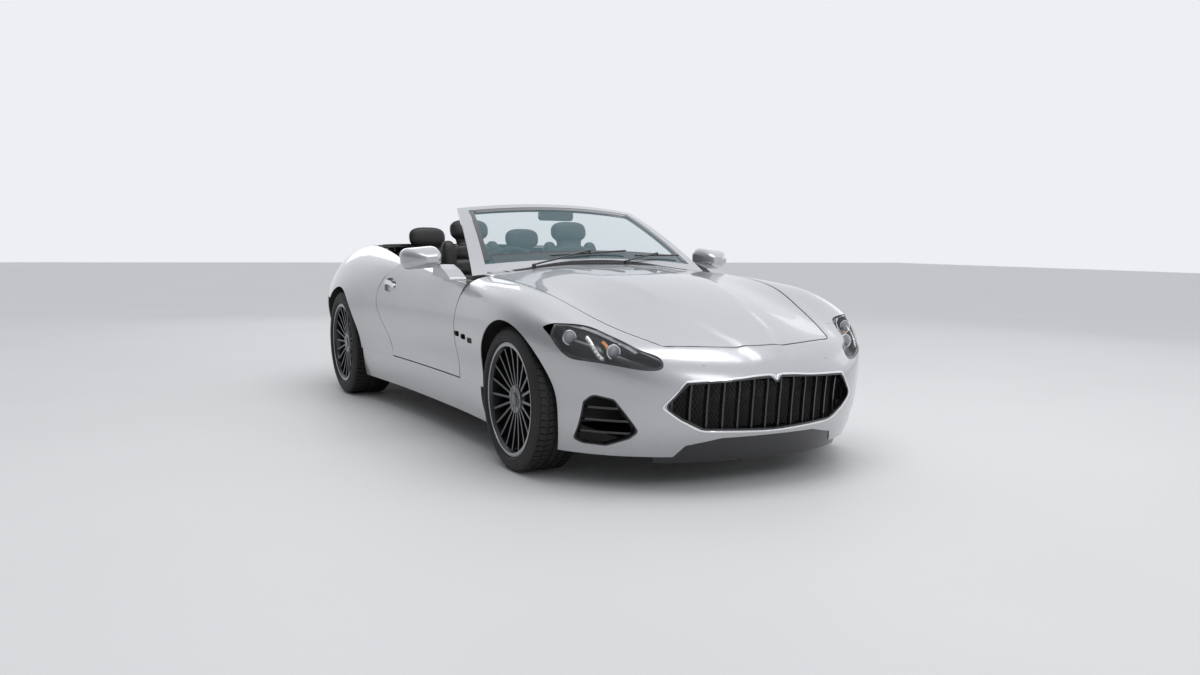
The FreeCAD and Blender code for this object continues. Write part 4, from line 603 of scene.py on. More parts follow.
def tyre_outline(radius, width):
    """Half a tyre's cross section from the outer bead over the tread, as (along, radius)."""
    half = width / 2
    side = [(half - 0.019, RIM_SEAT + 0.001), (half - 0.0185, RIM_SEAT + 0.016),
            (half - 0.006, RIM_SEAT + 0.020), (half - 0.0005, RIM_SEAT + 0.026),
            (half, RIM_SEAT + 0.031), (half - 0.004, RIM_SEAT + 0.035),
            (half - 0.003, radius - 0.046), (half - 0.0025, radius - 0.040),
            (half - 0.0045, radius - 0.0385), (half - 0.007, radius - 0.026),
            (half - 0.012, radius - 0.0145), (half - 0.020, radius - TREAD)]
    middle = [(half * share, radius - TREAD) for share in (0.5, 0.0, -0.5)]
    return side + middle + [(-a, r) for a, r in reversed(side)]


# %% Geometry Nodes: a ring of blocks
def ring_tree():
    """Tree that sets a box again and again round the Y axis, with named sizes."""
    tree = bpy.data.node_groups.new("ring_of_blocks", "GeometryNodeTree")
    face = tree.interface
    face.new_socket("Geometry", in_out="OUTPUT", socket_type="NodeSocketGeometry")
    face.new_socket("Count", in_out="INPUT", socket_type="NodeSocketInt")
    for title in ("Radius", "Across", "Length", "Depth", "Offset", "Skew"):
        face.new_socket(title, in_out="INPUT", socket_type="NodeSocketFloat")
    face.new_socket("Centre", in_out="INPUT", socket_type="NodeSocketVector")
    face.new_socket("Finish", in_out="INPUT", socket_type="NodeSocketMaterial")

    def put(kind, inputs, **settings):
        return wired(tree, kind, settings, inputs)

    given = put("NodeGroupInput", {})
    circle = put("GeometryNodeMeshCircle",
                 {"Vertices": given["Count"], "Radius": given["Radius"]})
    size = put("ShaderNodeCombineXYZ",
               {"X": given["Depth"], "Y": given["Length"], "Z": given["Across"]})
    block = put("GeometryNodeMeshCube", {"Size": size[0]})
    place = put("GeometryNodeInputPosition", {})
    outward = put("FunctionNodeAlignRotationToVector", {"Vector": place[0]}, axis="X")
    lean = put("FunctionNodeAxisAngleToRotation", {"Axis": (1, 0, 0), "Angle": given["Skew"]})
    skew = put("FunctionNodeRotateRotation", {"Rotation": outward[0], "Rotate By": lean[0]},
               rotation_space="LOCAL")
    spread = put("GeometryNodeInstanceOnPoints",
                 {"Points": circle["Mesh"], "Instance": block["Mesh"], "Rotation": skew[0]})
    move = put("ShaderNodeCombineXYZ", {"Z": given["Offset"]})
    shift = put("GeometryNodeTransform",
                {"Geometry": spread["Instances"], "Translation": move[0]})
    stand = put("GeometryNodeTransform",
                {"Geometry": shift[0], "Rotation": (-math.pi / 2, 0, 0)})
    carry = put("GeometryNodeTransform",
                {"Geometry": stand[0], "Translation": given["Centre"]})
    real = put("GeometryNodeRealizeInstances", {0: carry[0]})
    colour = put("GeometryNodeSetMaterial", {"Geometry": real[0], "Material": given["Finish"]})
    put("NodeGroupOutput", {0: colour[0]})
    return tree


def grown(name, tree, settings, finish, body):
    """Evaluate a tree on an empty mesh and keep the result as a plain piece."""
    holder = holding(name + "_grower", bpy.data.meshes.new(name + "_grower"))
    modifier = holder.modifiers.new("grow", "NODES")
    modifier.node_group = tree
    sockets = {item.name: item.identifier for item in tree.interface.items_tree
               if item.in_out == "INPUT"}
    for title, number in settings.items():
        modifier[sockets[title]] = number
    modifier[sockets["Finish"]] = FINISH[finish]
    return settled(name, holder, finish, body)


BLOCK_RING = ring_tree()
print("block ring nodes:", len(BLOCK_RING.nodes))


# %% Tyres with their tread
def tread_rows(width):
    """Rows of blocks over the tread: place across, width, length, skew and count."""
    half = width / 2
    return [(0.0, width * 0.10, 0.046, 0.0, 44),
            (half * 0.34, width * 0.12, 0.026, 0.30, 64),
            (-half * 0.34, width * 0.12, 0.026, 0.30, 64),
            (half * 0.68, width * 0.13, 0.027, -0.25, 64),
            (-half * 0.68, width * 0.13, 0.027, -0.25, 64)]


for mark, (x, y, radius, width) in WHEELS.items():
    outline = tyre_outline(radius, width)
    carcass = Shape().turn(outline, Vector((x, y, radius)), steps=128)
    whole = piece(f"tyre_{mark}_carcass", carcass, "tyre_rubber", f"wheel_{mark}", crease=40)
    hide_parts(f"tyre_{mark}")
    rows = []
    for row, (offset, across, length, skew, count) in enumerate(tread_rows(width)):
        settings = {"Count": count, "Radius": radius - TREAD / 2 - TREAD_SINK, "Across": across,
                    "Length": length, "Depth": TREAD, "Offset": offset, "Skew": skew,
                    "Centre": (x, y, radius)}
        rows.append(grown(f"tyre_{mark}_tread_{row}", BLOCK_RING, settings, "tyre_rubber",
                          f"wheel_{mark}"))
    blocks = sum(len(row.data.polygons) for row in rows)
    print(mark, "tyre faces", len(whole.data.polygons), "tread", blocks)

# %% [markdown]
# ## Wheels
#
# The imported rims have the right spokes. What a viewer also sees is the turned bright edge of
# the rim, the plain centre cap, five bolts and the valve, so these are added to each face.

# %% Profiles of the wheel's trim, as (out from the rim's face, radius)
FACE_INSET = 0.012
RIM_EDGE = [(-0.003, RIM_SEAT - 0.0035), (0.0012, RIM_SEAT - 0.0022), (0.0022, RIM_SEAT + 0.004),
            (0.0020, RIM_SEAT + 0.0115), (0.0008, RIM_SEAT + 0.0148),
            (-0.003, RIM_SEAT + 0.0149)]
CAP = [(-0.032, 0.0335), (-0.0255, 0.0330), (-0.0238, 0.0300), (-0.0232, 0.0240),
       (-0.0226, 0.0120), (-0.0224, 0.0002)]
CAP_RING = [(-0.0300, 0.0375), (-0.0272, 0.0370), (-0.0268, 0.0350), (-0.0300, 0.0345)]
TURNED = {"edge": (RIM_EDGE, 160, "turned_alloy"), "cap": (CAP, 64, "black_trim"),
          "cap_ring": (CAP_RING, 64, "turned_alloy")}
BOLT = [(-0.034, 0.0092), (-0.0282, 0.0090), (-0.0272, 0.0078), (-0.0272, 0.0050),
        (-0.0300, 0.0048), (-0.0300, 0.0002)]
BOLTS = 5
BOLT_CIRCLE = 0.0545
VALVE = [(0, 0.0042), (0.022, 0.0034), (0.023, 0.0028), (0.023, 0.0001)]
VALVE_INSET = 0.022
VALVE_DEPTH = 0.030
VALVE_WAY = Vector((math.sin(0.2), 0, -math.cos(0.2)))
print("turned trim:", ", ".join(TURNED))


# %% Rim edges, caps, bolts and valves
def on_face(profile, face):
    """A profile moved out to the rim's face."""
    return [(face + a, r) for a, r in profile]


for mark, (x, y, radius, width) in WHEELS.items():
    side = 1 if y > 0 else -1
    face = width / 2 - FACE_INSET
    centre = Vector((x, y, radius))
    wheel = f"wheel_{mark}"
    for title, (profile, steps, finish) in TURNED.items():
        shape = Shape().turn(on_face(profile, face), centre, steps=steps, side=side)
        piece(f"rim_{mark}_{title}", shape, finish, wheel)
    bolts = Shape()
    for k in range(BOLTS):
        angle = 2 * math.pi * (k + 0.25) / BOLTS
        spot = centre + Vector((math.cos(angle), 0, math.sin(angle))) * BOLT_CIRCLE
        bolts.turn(on_face(BOLT, face), spot, steps=12, side=side)
    piece(f"rim_{mark}_bolts", bolts, "bright_steel", wheel, crease=25)
    spot = centre + VALVE_WAY * (RIM_SEAT - VALVE_INSET)
    spot += Vector((0, side * (face - VALVE_DEPTH), 0))
    valve = Shape().turn(VALVE, spot, axis=Vector((0, side, 0)), steps=12)
    piece(f"rim_{mark}_valve", valve, "liner_plastic", wheel)
    print(mark, "rim trim with", BOLTS, "bolts")

# %% [markdown]
# ## Headlamps
#
# Behind a clear cover sit two projectors in bright rings, a slanting strip of small lamps and a
# bright eyebrow along the top edge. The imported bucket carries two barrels, so the lenses go on
# their ends, and the strips keep a set depth behind the cover.

# %% Projector lenses and their rings
LAMP_LENSES = ((1.9685, -0.781, 0.660), (2.1335, -0.650, 0.606))
LENS_DOME = [(-0.001, 0.0265), (0.004, 0.0262), (0.009, 0.0235), (0.0128, 0.0175),
             (0.0148, 0.0095), (0.0154, 0.0002)]
LENS_RING = [(-0.002, 0.0335), (0.0045, 0.0335), (0.0055, 0.0325), (0.0050, 0.0295),
             (0.0015, 0.0262), (-0.002, 0.0262)]
FORWARD = Vector((1, 0, 0))

lenses = Shape()
lens_rings = Shape()
for place in LAMP_LENSES:
    lenses.turn(LENS_DOME, Vector(place), axis=FORWARD, steps=48)
    lens_rings.turn(LENS_RING, Vector(place), axis=FORWARD, steps=48)
piece("headlamp_lenses", lenses.both(), "lens_glass", crease=60)
piece("headlamp_lens_rings", lens_rings.both(), "bright_trim")
print("projectors on each side:", len(LAMP_LENSES))


# %% Ways to follow the lamp cover
COVER_WAY = Vector((0.62, -0.62, 0.48))  # about how the right cover faces


def behind_cover(points, depth):
    """Nearest places of the lamp cover's outer skin, moved inward, with the skin's normals."""
    path = []
    for point in points:
        spot, normal, _, _ = skin("headlamp_covers").find_nearest(Vector(point))
        if normal.dot(COVER_WAY) < 0.5:
            normal = COVER_WAY
        path.append((spot - normal * depth, normal))
    return path


def strip(shape, points, wide, high, depth, count):
    """Low bar at a set depth behind the cover."""
    found = behind_cover(along(points, count), depth)
    shape.sweep([p for p, _ in found], band_section(wide, high), [n for _, n in found])
    return found


# %% Eyebrow, lamp strip, beads and amber lamp
EYEBROW = [(1.930, -0.785, 0.704), (1.990, -0.718, 0.694), (2.060, -0.665, 0.666),
           (2.140, -0.622, 0.634), (2.215, -0.583, 0.600)]
CARRIER = [(2.048, -0.742, 0.668), (2.085, -0.732, 0.634), (2.126, -0.724, 0.602),
           (2.160, -0.712, 0.577)]
BEAD = [(0.0025, 0.0058), (0.0050, 0.0050), (0.0062, 0.0030), (0.0066, 0.0001)]
AMBER = [(2.098, -0.690, 0.650), (2.118, -0.684, 0.632), (2.136, -0.680, 0.612)]

eyebrow = Shape()
strip(eyebrow, EYEBROW, 0.010, 0.003, 0.009, 40)
piece("headlamp_eyebrow", eyebrow.both(), "bright_trim")
carrier = Shape()
found = strip(carrier, CARRIER, 0.017, 0.003, 0.016, 16)
piece("headlamp_strip", carrier.both(), "bright_trim")
beads = Shape()
for spot, normal in found[1:-1:2]:
    beads.turn(BEAD, spot, axis=normal, steps=14)
piece("headlamp_beads", beads.both(), "lamp_white")
amber = Shape()
strip(amber, AMBER, 0.013, 0.004, 0.020, 10)
piece("headlamp_amber", amber.both(), "amber_lamp")
print("small lamps on each side:", len(found[1:-1:2]))

# %% Dark border round the cover
LAMP_EDGE = [(1.881, -0.861, 0.706), (1.902, -0.836, 0.718), (1.945, -0.785, 0.720),
             (1.984, -0.697, 0.708), (2.049, -0.651, 0.683), (2.148, -0.604, 0.648),
             (2.236, -0.554, 0.613), (2.303, -0.502, 0.573), (2.316, -0.508, 0.552),
             (2.296, -0.558, 0.537), (2.248, -0.626, 0.545), (2.167, -0.712, 0.562),
             (2.096, -0.772, 0.571), (2.004, -0.830, 0.599), (1.953, -0.850, 0.646),
             (1.902, -0.862, 0.687)]
BORDER_INSET = 0.006
BORDER_DEPTH = 0.0052

middle = sum((Vector(p) for p in LAMP_EDGE), Vector()) / len(LAMP_EDGE)
inner_edge = [Vector(p) + (middle - Vector(p)).normalized() * BORDER_INSET for p in LAMP_EDGE]
found = behind_cover(along(inner_edge + inner_edge[:1], 97)[:-1], BORDER_DEPTH)
border = Shape().sweep([p for p, _ in found], band_section(0.012, 0.0012),
                       [n for _, n in found], looped=True)
piece("headlamp_border", border.both(), "black_trim")
print("headlamp border:", len(found), "edge points")

# %% [markdown]
# ## Nose trim
#
# A thin bright ring frames the grille. It follows rays cast back on the nose, and a curved
# surface fitted to where they meet it gives the place of the net behind the bowed slats.

# %% Grille ring
RING_EDGE = [(0.0, 0.4795), (0.030, 0.5085), (0.210, 0.4985), (0.400, 0.4915), (0.432, 0.483),
             (0.470, 0.438), (0.505, 0.396), (0.513, 0.380), (0.502, 0.366), (0.448, 0.3245),
             (0.420, 0.309), (0.346, 0.2735), (0.200, 0.2635), (0.0, 0.2555)]
GRILLE_HEIGHT = 0.38
NOSE_START = 2.9
BACKWARD = Vector((-1, 0, 0))

whole_edge = RING_EDGE + [(-y, z) for y, z in RING_EDGE[-2:0:-1]]
path, normals = [], []
for spot in along([(0, y, z) for y, z in whole_edge + whole_edge[:1]], 241)[:-1]:
    outward = Vector((0, spot.y, spot.z - GRILLE_HEIGHT)) * 0.02
    start = Vector((NOSE_START, spot.y, spot.z))
    for step in range(5):
        place, normal, _, _ = skin("front_bumper").ray_cast(start + outward * step, BACKWARD, 0.9)
        if place and place.x > 2.15:
            path.append(place + Vector((0.0006, 0, 0)))
            normals.append(normal)
            break
ring = Shape().sweep(path, band_section(0.0085, 0.0035, 0.003), normals, looped=True)
piece("grille_ring", ring, "bright_trim")


def nose_terms(y, z):
    return (1, y * y, z - GRILLE_HEIGHT, (z - GRILLE_HEIGHT)**2)


table = np.array([nose_terms(p.y, p.z) for p in path])
nose_fit = np.linalg.lstsq(table, np.array([p.x for p in path]), rcond=None)[0]
print("grille ring points:", len(path), "nose surface:", [round(float(c), 3) for c in nose_fit])


# %% Net and sheet behind the slats
NET_DEPTH = 0.0615
NET_PITCH = 0.0175
SHEET_DEPTH, SHEET_WALL = 0.066, 0.002


def nose_x(y, z):
    return float(nose_fit @ np.array(nose_terms(y, z)))


net = Shape()
for lean in (-1, 1):
    for k in range(64):
        start = -0.55 + k * NET_PITCH
        wire = []
        for j in range(9):
            z = 0.272 + 0.205 * j / 8
            y = start + lean * (z - 0.375) * 0.6
            if abs(y) < 0.47 - abs(z - 0.385) * 0.6:
                wire.append(Vector((nose_x(y, z) - NET_DEPTH, y, z)))
        if len(wire) > 1:
            net.sweep(wire, disc_section(0.0013, 4), FORWARD)
piece("grille_net", net, "black_trim", smooth=False)
places = over((-0.475, 0.272), (0.475, 0.476), 24, 6)
front = [Vector((nose_x(y, z) - SHEET_DEPTH, y, z)) for y, z in places]
back = [Vector((nose_x(y, z) - SHEET_DEPTH - SHEET_WALL, y, z)) for y, z in places]
piece("grille_backing", slab(front, back, 24, 6), "liner_plastic")
print("net faces:", len(net.faces))

# %% [markdown]
# ## Seats
#
# Each seat is a group of soft pads: ribs of foam down the middle, side bolsters, and a head
# rest. The pads are pushed into one another and a voxel remesh then welds them into a single
# upholstered form, so that the seams between them stay as soft grooves.

# %% Pads and how they are welded
def pad(shape, centre, half, lean=0.0, power=4.0, turn=0.0):
    """Pillow with flat faces and full corners; lean tips it back about Y."""
    rings = []
    tip = Matrix.Rotation(-lean, 3, "Y") @ Matrix.Rotation(turn, 3, "Z")
    for i in range(1, 14):
        up = -math.pi / 2 + math.pi * i / 14
        ring = []
        for spin in turns(28):
            unit = (math.cos(up) * math.cos(spin), math.cos(up) * math.sin(spin), math.sin(up))
            size = sum(abs(c) ** power for c in unit) ** (1 / power)
            ring.append(Vector(centre) + tip @ Vector([c / size * h for c, h in zip(unit, half)]))
        rings.append(ring)
    return shape.rings(rings)


def welded(name, shape, finish, voxel=0.007):
    """Weld pads into one form on the chassis and relax it."""
    rough = bpy.data.meshes.new(name + "_rough")
    rough.from_pydata([tuple(p) for p in shape.points], [], shape.faces)
    holder = holding(name + "_rough", rough)
    remesh = holder.modifiers.new("weld", "REMESH")
    remesh.mode = "VOXEL"
    remesh.voxel_size = voxel
    relax = holder.modifiers.new("relax", "SMOOTH")
    relax.factor = 0.5
    relax.iterations = 3
    made = settled(name, holder, finish, "chassis")
    for polygon in made.data.polygons:
        polygon.use_smooth = True
    return made


CORD_RADIUS = 0.0028
CORD_STEPS = 40


def piping(shape, points):
    """Round cord along a seam."""
    section = disc_section(CORD_RADIUS, 6)
    shape.sweep(along(points, CORD_STEPS), section, Vector((0.3, 0.1, 1)))


# %% Front seats
SEAT_Y = 0.350
BACK_FOOT = Vector((-0.262, 0, 0.440))
BACK_TOP = Vector((-0.395, 0, 1.075))
BACK_LEAN = math.atan2(BACK_FOOT.x - BACK_TOP.x, BACK_TOP.z - BACK_FOOT.z)
SIDES = ((1, "l"), (-1, "r"))

for side, mark in SIDES:
    seat = Shape()
    y = SEAT_Y * side
    for k in range(5):
        pad(seat, (-0.165 + 0.095 * k, y, 0.416 + 0.006 * k), (0.053, 0.148, 0.060), power=3.4)
    pad(seat, (0.225, y, 0.405), (0.042, 0.185, 0.060), power=3.2)
    pad(seat, (-0.02, y, 0.372), (0.262, 0.200, 0.062), power=5)
    for flank in (-1, 1):
        pad(seat, (-0.005, y + flank * 0.182, 0.428), (0.225, 0.044, 0.062), power=3)
    up = (BACK_TOP - BACK_FOOT).normalized()
    ahead = Vector((up.z, 0, -up.x))
    for k in range(6):
        spot = BACK_FOOT + up * (0.070 + 0.098 * k) + ahead * 0.012
        wide = 0.146 if k < 4 else 0.140 - 0.012 * (k - 3)
        pad(seat, (spot.x, y, spot.z), (0.046, wide, 0.055), BACK_LEAN, 3.4)
    shell = BACK_FOOT + up * 0.31 - ahead * 0.035
    pad(seat, (shell.x, y, shell.z), (0.038, 0.190, 0.315), BACK_LEAN, 4)
    for flank in (-1, 1):
        spot = BACK_FOOT + up * 0.235 + ahead * 0.030
        pad(seat, (spot.x, y + flank * 0.172, spot.z), (0.060, 0.044, 0.225), BACK_LEAN, 2.8,
            turn=flank * -0.25)
        spot = BACK_FOOT + up * 0.535 + ahead * 0.006
        pad(seat, (spot.x, y + flank * 0.148, spot.z), (0.044, 0.046, 0.105), BACK_LEAN, 2.8)
    pad(seat, (-0.392, y, 1.075), (0.034, 0.088, 0.060), BACK_LEAN, 3)
    pad(seat, (-0.398, y, 1.135), (0.048, 0.124, 0.066), BACK_LEAN, 3)
    seat.box((-0.26, y - 0.185, 0.1755), (0.16, y + 0.185, 0.33))
    made = welded(f"front_seat_{mark}_pads", seat, "seat_leather")
    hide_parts(f"front_seat_{mark}")
    cords = Shape()
    for flank in (-1, 1):
        piping(cords, [(-0.20, y + flank * 0.150, 0.468), (0.0, y + flank * 0.150, 0.484),
                       (0.20, y + flank * 0.150, 0.487), (0.245, y + flank * 0.150, 0.470)])
    piece(f"front_seat_{mark}_piping", cords, "seat_leather")
    print(mark, "front seat faces", len(made.data.polygons))

# %% Rear seats
REAR_LEAN = 0.19
REAR_HEAD_OUT = 358 / 330  # the head rests stand a little further out than the seats

seat = Shape()
for y in (-0.330, 0.330):
    for k in range(4):
        pad(seat, (-1.060 + 0.095 * k, y, 0.520 + 0.006 * k), (0.053, 0.165, 0.052), power=3.4)
    pad(seat, (-0.752, y, 0.520), (0.040, 0.215, 0.062), power=3.2)
    for k in range(4):
        pad(seat, (-1.122 - 0.018 * k, y, 0.640 + 0.098 * k), (0.046, 0.160, 0.055), REAR_LEAN, 3.4)
    for flank in (-1, 1):
        pad(seat, (-0.90, y + flank * 0.200, 0.530), (0.180, 0.042, 0.052), power=3)
        pad(seat, (-1.150, y + flank * 0.196, 0.770), (0.048, 0.042, 0.200), REAR_LEAN, 3)
    pad(seat, (-1.205, y, 1.000), (0.030, 0.085, 0.060), 0.10, 3)
    pad(seat, (-1.206, y * REAR_HEAD_OUT, 1.085), (0.041, 0.128, 0.072), 0.08, 3)
pad(seat, (-0.93, 0, 0.520), (0.215, 0.125, 0.052), power=4)
pad(seat, (-1.17, 0, 0.760), (0.050, 0.130, 0.205), REAR_LEAN, 4)
seat.box((-1.250, -0.560, 0.440), (-0.760, 0.560, 0.520))
seat.box((-1.255, -0.570, 0.560), (-1.190, 0.570, 0.975))
seat.box((-0.9495, -0.550, 0.1755), (-0.750, 0.550, 0.450))
made = welded("rear_seat_pads", seat, "seat_leather", voxel=0.009)
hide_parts("rear_seat")
print("rear seat faces", len(made.data.polygons))

# %% [markdown]
# ## Windscreen and mirrors
#
# The glass is bonded over a printed black border. Its edges are found by searching how far
# across and how far up a ray still meets the glass, and the border is laid just inside them.

# %% Searching for the glass's edges
EDGE_GAP = 0.0015
BORDER_HIGH, BORDER_LOW = 0.0009, 0.0001


def glass_at(y, z):
    return skin("windscreen").ray_cast(Vector((2.5, y, z)), BACKWARD, 3)


def last_hit(test, inside, outside):
    """Furthest value at which a test still holds, between one that does and one that doesn't."""
    for _ in range(18):
        middle = (inside + outside) / 2
        if test(middle):
            inside = middle
        else:
            outside = middle
    return inside


def on_glass(y, z, lift):
    spot, normal, _, _ = glass_at(y, z)
    if normal.x < 0:
        normal = -normal
    return spot + normal * lift


def border_strip(edges, inward, wide):
    """Cross sections of a thin raised band, from each edge place inward."""
    rings = []
    for y, z in edges:
        a = Vector((y, z)) + inward * EDGE_GAP
        b = Vector((y, z)) + inward * wide
        if glass_at(*a)[0] is None or glass_at(*b)[0] is None:
            continue
        rings.append([on_glass(*a, BORDER_HIGH), on_glass(*b, BORDER_HIGH),
                      on_glass(*b, BORDER_LOW), on_glass(*a, BORDER_LOW)])
    return rings


# %% Black border on the windscreen
def edge_heights(half, count, inside, outside):
    """Places (y, z) at which the glass ends, searched between two heights."""
    places = []
    for y in np.linspace(-half, half, count):
        places.append((y, last_hit(lambda z: glass_at(y, z)[0] is not None, inside, outside)))
    return places


low = edge_heights(0.60, 49, 1.1, 0.90)
top = edge_heights(0.50, 41, 1.1, 1.32)
border = Shape()
border.rings(border_strip(low, Vector((0, 1)), 0.050))
border.rings(border_strip(top, Vector((0, -1)), 0.016))
for side in (-1, 1):
    flank = []
    for z in np.linspace(0.962, 1.262, 41):
        y = last_hit(lambda y: glass_at(y * side, z)[0] is not None, 0.30, 0.72) * side
        flank.append((y, z))
    border.rings(border_strip(flank, Vector((-side, 0)), 0.024))
piece("windscreen_border", border, "dark_glass", crease=60)
print("border from", [round(v, 3) for v in low[0]], "to", [round(v, 3) for v in top[0]])


# %% Door mirror glass and its black frame
MIRROR_MIDDLE = (0.944, 0.9755)
MIRROR_HALF = (0.083, 0.050)
MIRROR_POWER = 3.2
MIRROR_DROP = 0.006  # how far the outline's outer end hangs lower


def oval(x, grow, side):
    """Rounded outline of a door mirror's glass, at one x."""
    ring = []
    for angle in turns(40):
        a, b = math.cos(angle), math.sin(angle)
        size = (abs(a) ** MIRROR_POWER + abs(b) ** MIRROR_POWER) ** (1 / MIRROR_POWER)
        y = MIRROR_MIDDLE[0] + (MIRROR_HALF[0] + grow) * a / size
        z = MIRROR_MIDDLE[1] + (MIRROR_HALF[1] + grow) * b / size - MIRROR_DROP * a / size
        ring.append(Vector((x, y * side, z)))
    return ring


GLASS_LAYERS = ((0.3972, -0.006), (0.3962, -0.004), (0.3950, -0.0045))
RIM_LAYERS = ((0.3976, 0.0015), (0.3940, 0.0015), (0.3940, -0.0040), (0.3976, -0.0040))
for side, mark in SIDES:
    plate = Shape().rings([oval(x, grow, side) for x, grow in GLASS_LAYERS])
    piece(f"door_mirror_{mark}_glass", plate, "mirror_silver", f"door_{mark}")
    rim = Shape().rings([oval(x, grow, side) for x, grow in RIM_LAYERS], capped=False, looped=True)
    piece(f"door_mirror_{mark}_rim", rim, "liner_plastic", f"door_{mark}")
print("door mirrors:", len(SIDES))


# %% Interior mirror glass
def rooted(share):
    """Square root that keeps the sign, which makes a circle's outline squarer."""
    return math.copysign(abs(share) ** 0.5, share)


outline = [(rooted(math.cos(t)), rooted(math.sin(t))) for t in turns(32)]
face = Shape().rings([[Vector((x, 0.098 * a, 1.226 + 0.023 * b)) for a, b in outline]
                      for x in (0.1402, 0.1394)])
piece("interior_mirror_glass", face, "mirror_silver")
print("interior mirror corners:", len(outline))

# %% [markdown]
# ## Cowl
#
# Between the bonnet and the glass lies a black moulded panel with louvres, which the wipers
# reach through.

# %% Cowl panel and louvres
COWL_LOWEST = 0.897
COWL_PLENUM = 0.9
COWL_HALF = 0.545
LOUVRES = 46
WIPER_PLACES = (-0.43, 0.14)


def cowl_at(x, y):
    """Place just over the windscreen frame, or over its plenum where that is lower."""
    spot, _, _, _ = skin("windscreen_frame").ray_cast(Vector((x, y, 1.6)), DOWN, 0.74)
    height = spot.z if spot and spot.z > COWL_LOWEST else COWL_PLENUM
    return Vector((x, y, height + 0.0012))


rows = [[cowl_at(0.8345 - 0.0095 * i, -COWL_HALF + 2 * COWL_HALF * k / 60) for k in range(61)]
        for i in range(9)]
under = [[p - Vector((0, 0, 0.001)) for p in ring] for ring in rows]
cowl = Shape().rings([a + b[::-1] for a, b in zip(rows, under)])
piece("cowl_panel", cowl, "liner_plastic", crease=60)
louvres = Shape()
for k in range(LOUVRES):
    y = -0.53 + 0.0236 * k
    if all(abs(y - wiper) >= 0.02 for wiper in WIPER_PLACES):
        line = [cowl_at(x, y) for x in (0.826, 0.812, 0.797, 0.782, 0.768)]
        louvres.sweep(line, band_section(0.0045, 0.0022, 0.0005))
piece("cowl_louvres", louvres, "black_trim")
print("cowl rows:", len(rows), "louvre faces:", len(louvres.faces))

# %% [markdown]
# ## Tail
#
# The tail lamps get a dark ring and two bright ones on their lens. A plain dark field lies
# where a plate would go, and the bumper's lower edge gets a valance with fins and reflectors.

# %% Rings on the tail lamps
LAMP_MIDDLE = Vector((-2.19, 0.655, 0.748))
LAMP_HALF = (0.093, 0.040)
LENS_LIFT = 0.0004
OUTWARD = Vector((-0.80, 0.60, 0)).normalized()
LAMP_RINGS = {  # name: share of the lamp's size, width, finish
    "outer": (0.90, 0.007, "black_trim"),
    "guide": (0.66, 0.005, "lamp_white"),
    "inner": (0.34, 0.004, "lamp_white"),
}


def on_lamp(a, b, lift):
    """Place on the left tail lamp's lens, across and up from its middle."""
    across = Vector((OUTWARD.y, -OUTWARD.x, 0))
    start = LAMP_MIDDLE + across * a + Vector((0, 0, b)) + OUTWARD * 0.5
    spot, normal, _, _ = skin("tail_lamps").ray_cast(start, -OUTWARD, 0.9)
    return spot + normal * lift if spot else None


for title, (size, wide, finish) in LAMP_RINGS.items():
    loop = []
    for angle in turns(64):
        place = on_lamp(LAMP_HALF[0] * size * math.cos(angle),
                        LAMP_HALF[1] * size * math.sin(angle), LENS_LIFT)
        if place:
            loop.append(place)
    shape = Shape().sweep(loop, band_section(wide, 0.0014, 0.001), OUTWARD,
                          looped=True)
    piece(f"tail_lamp_{title}", shape.both(), finish)
    print("tail lamp", title, len(loop))


# %% Plate field, valance, fins and reflectors
def tail_at(y, z, lift=0.0):
    return meet(("boot_lid", "rear_bumper"), (-3.2, y, z), (1, 0, 0), lift)


def patch(name, place, low, high, columns, rows, wall, finish):
    """Thin panel that stands on a surface; place(s, t) gives a spot there and its normal."""
    front, back = [], []
    for s, t in over(low, high, columns, rows):
        spot, normal = place(s, t)
        front.append(spot + normal * wall)
        back.append(spot)
    return piece(name, slab(front, back, columns, rows), finish, crease=50)


patch("plate_field", tail_at, (-0.265, 0.505), (0.265, 0.625), 16, 4, 0.0016, "black_trim")
patch("rear_valance", tail_at, (-0.36, 0.200), (0.36, 0.285), 24, 4, 0.0022, "black_trim")
fins = Shape()
for y in (-0.30, -0.18, -0.06, 0.06, 0.18, 0.30):
    line = [tail_at(y, z, 0.002)[0] for z in (0.202, 0.225, 0.25, 0.278)]
    fins.sweep(line, band_section(0.010, 0.012, 0.001), BACKWARD)
piece("rear_valance_fins", fins, "black_trim")
line = [tail_at(0.58 + 0.12 * k / 8, 0.335, 0.0005)[0] for k in range(9)]
reflectors = Shape().sweep(line, band_section(0.016, 0.003, 0.001),
                           Vector((-1, 0.4, 0)))
piece("rear_reflectors", reflectors.both(), "red_lamp")
print("fin faces:", len(fins.faces), "reflector faces:", len(reflectors.faces))

# %% [markdown]
# ## Cabin
#
# The dashboard carries an instrument hood with two dials, a middle screen, four vents and a
# bright strip. The console has a selector lever, a switch panel and a padded lid.

# %% Rings on the dashboard
DRIVER_Y = -0.35
DIAL_HEIGHT = 0.79
DIAL_OUT = 0.075
VENT_HEIGHT = 0.765
VENT_PLACES = (0.175, 0.585)
SLAT_HEIGHTS = (-0.022, -0.011, 0.0, 0.011, 0.022)
SLAT_REACH = 0.036


def dash_at(y, z):
    return meet(("dashboard",), (0.30, y, z), (1, 0, 0))


def bezel(name, y, z, radius, wide, deep, finish):
    """Ring on the dashboard, round one spot."""
    spot, normal = dash_at(y, z)
    side = Vector((0, 1, 0))
    up = normal.cross(side).normalized()
    loop = []
    for angle in turns(40):
        loop.append(spot + normal * 0.002 + side * (radius * math.cos(angle))
                    + up * (radius * math.sin(angle)))
    shape = Shape().sweep(loop, band_section(wide, deep, 0.0008), normal, looped=True)
    return piece(name, shape, finish)


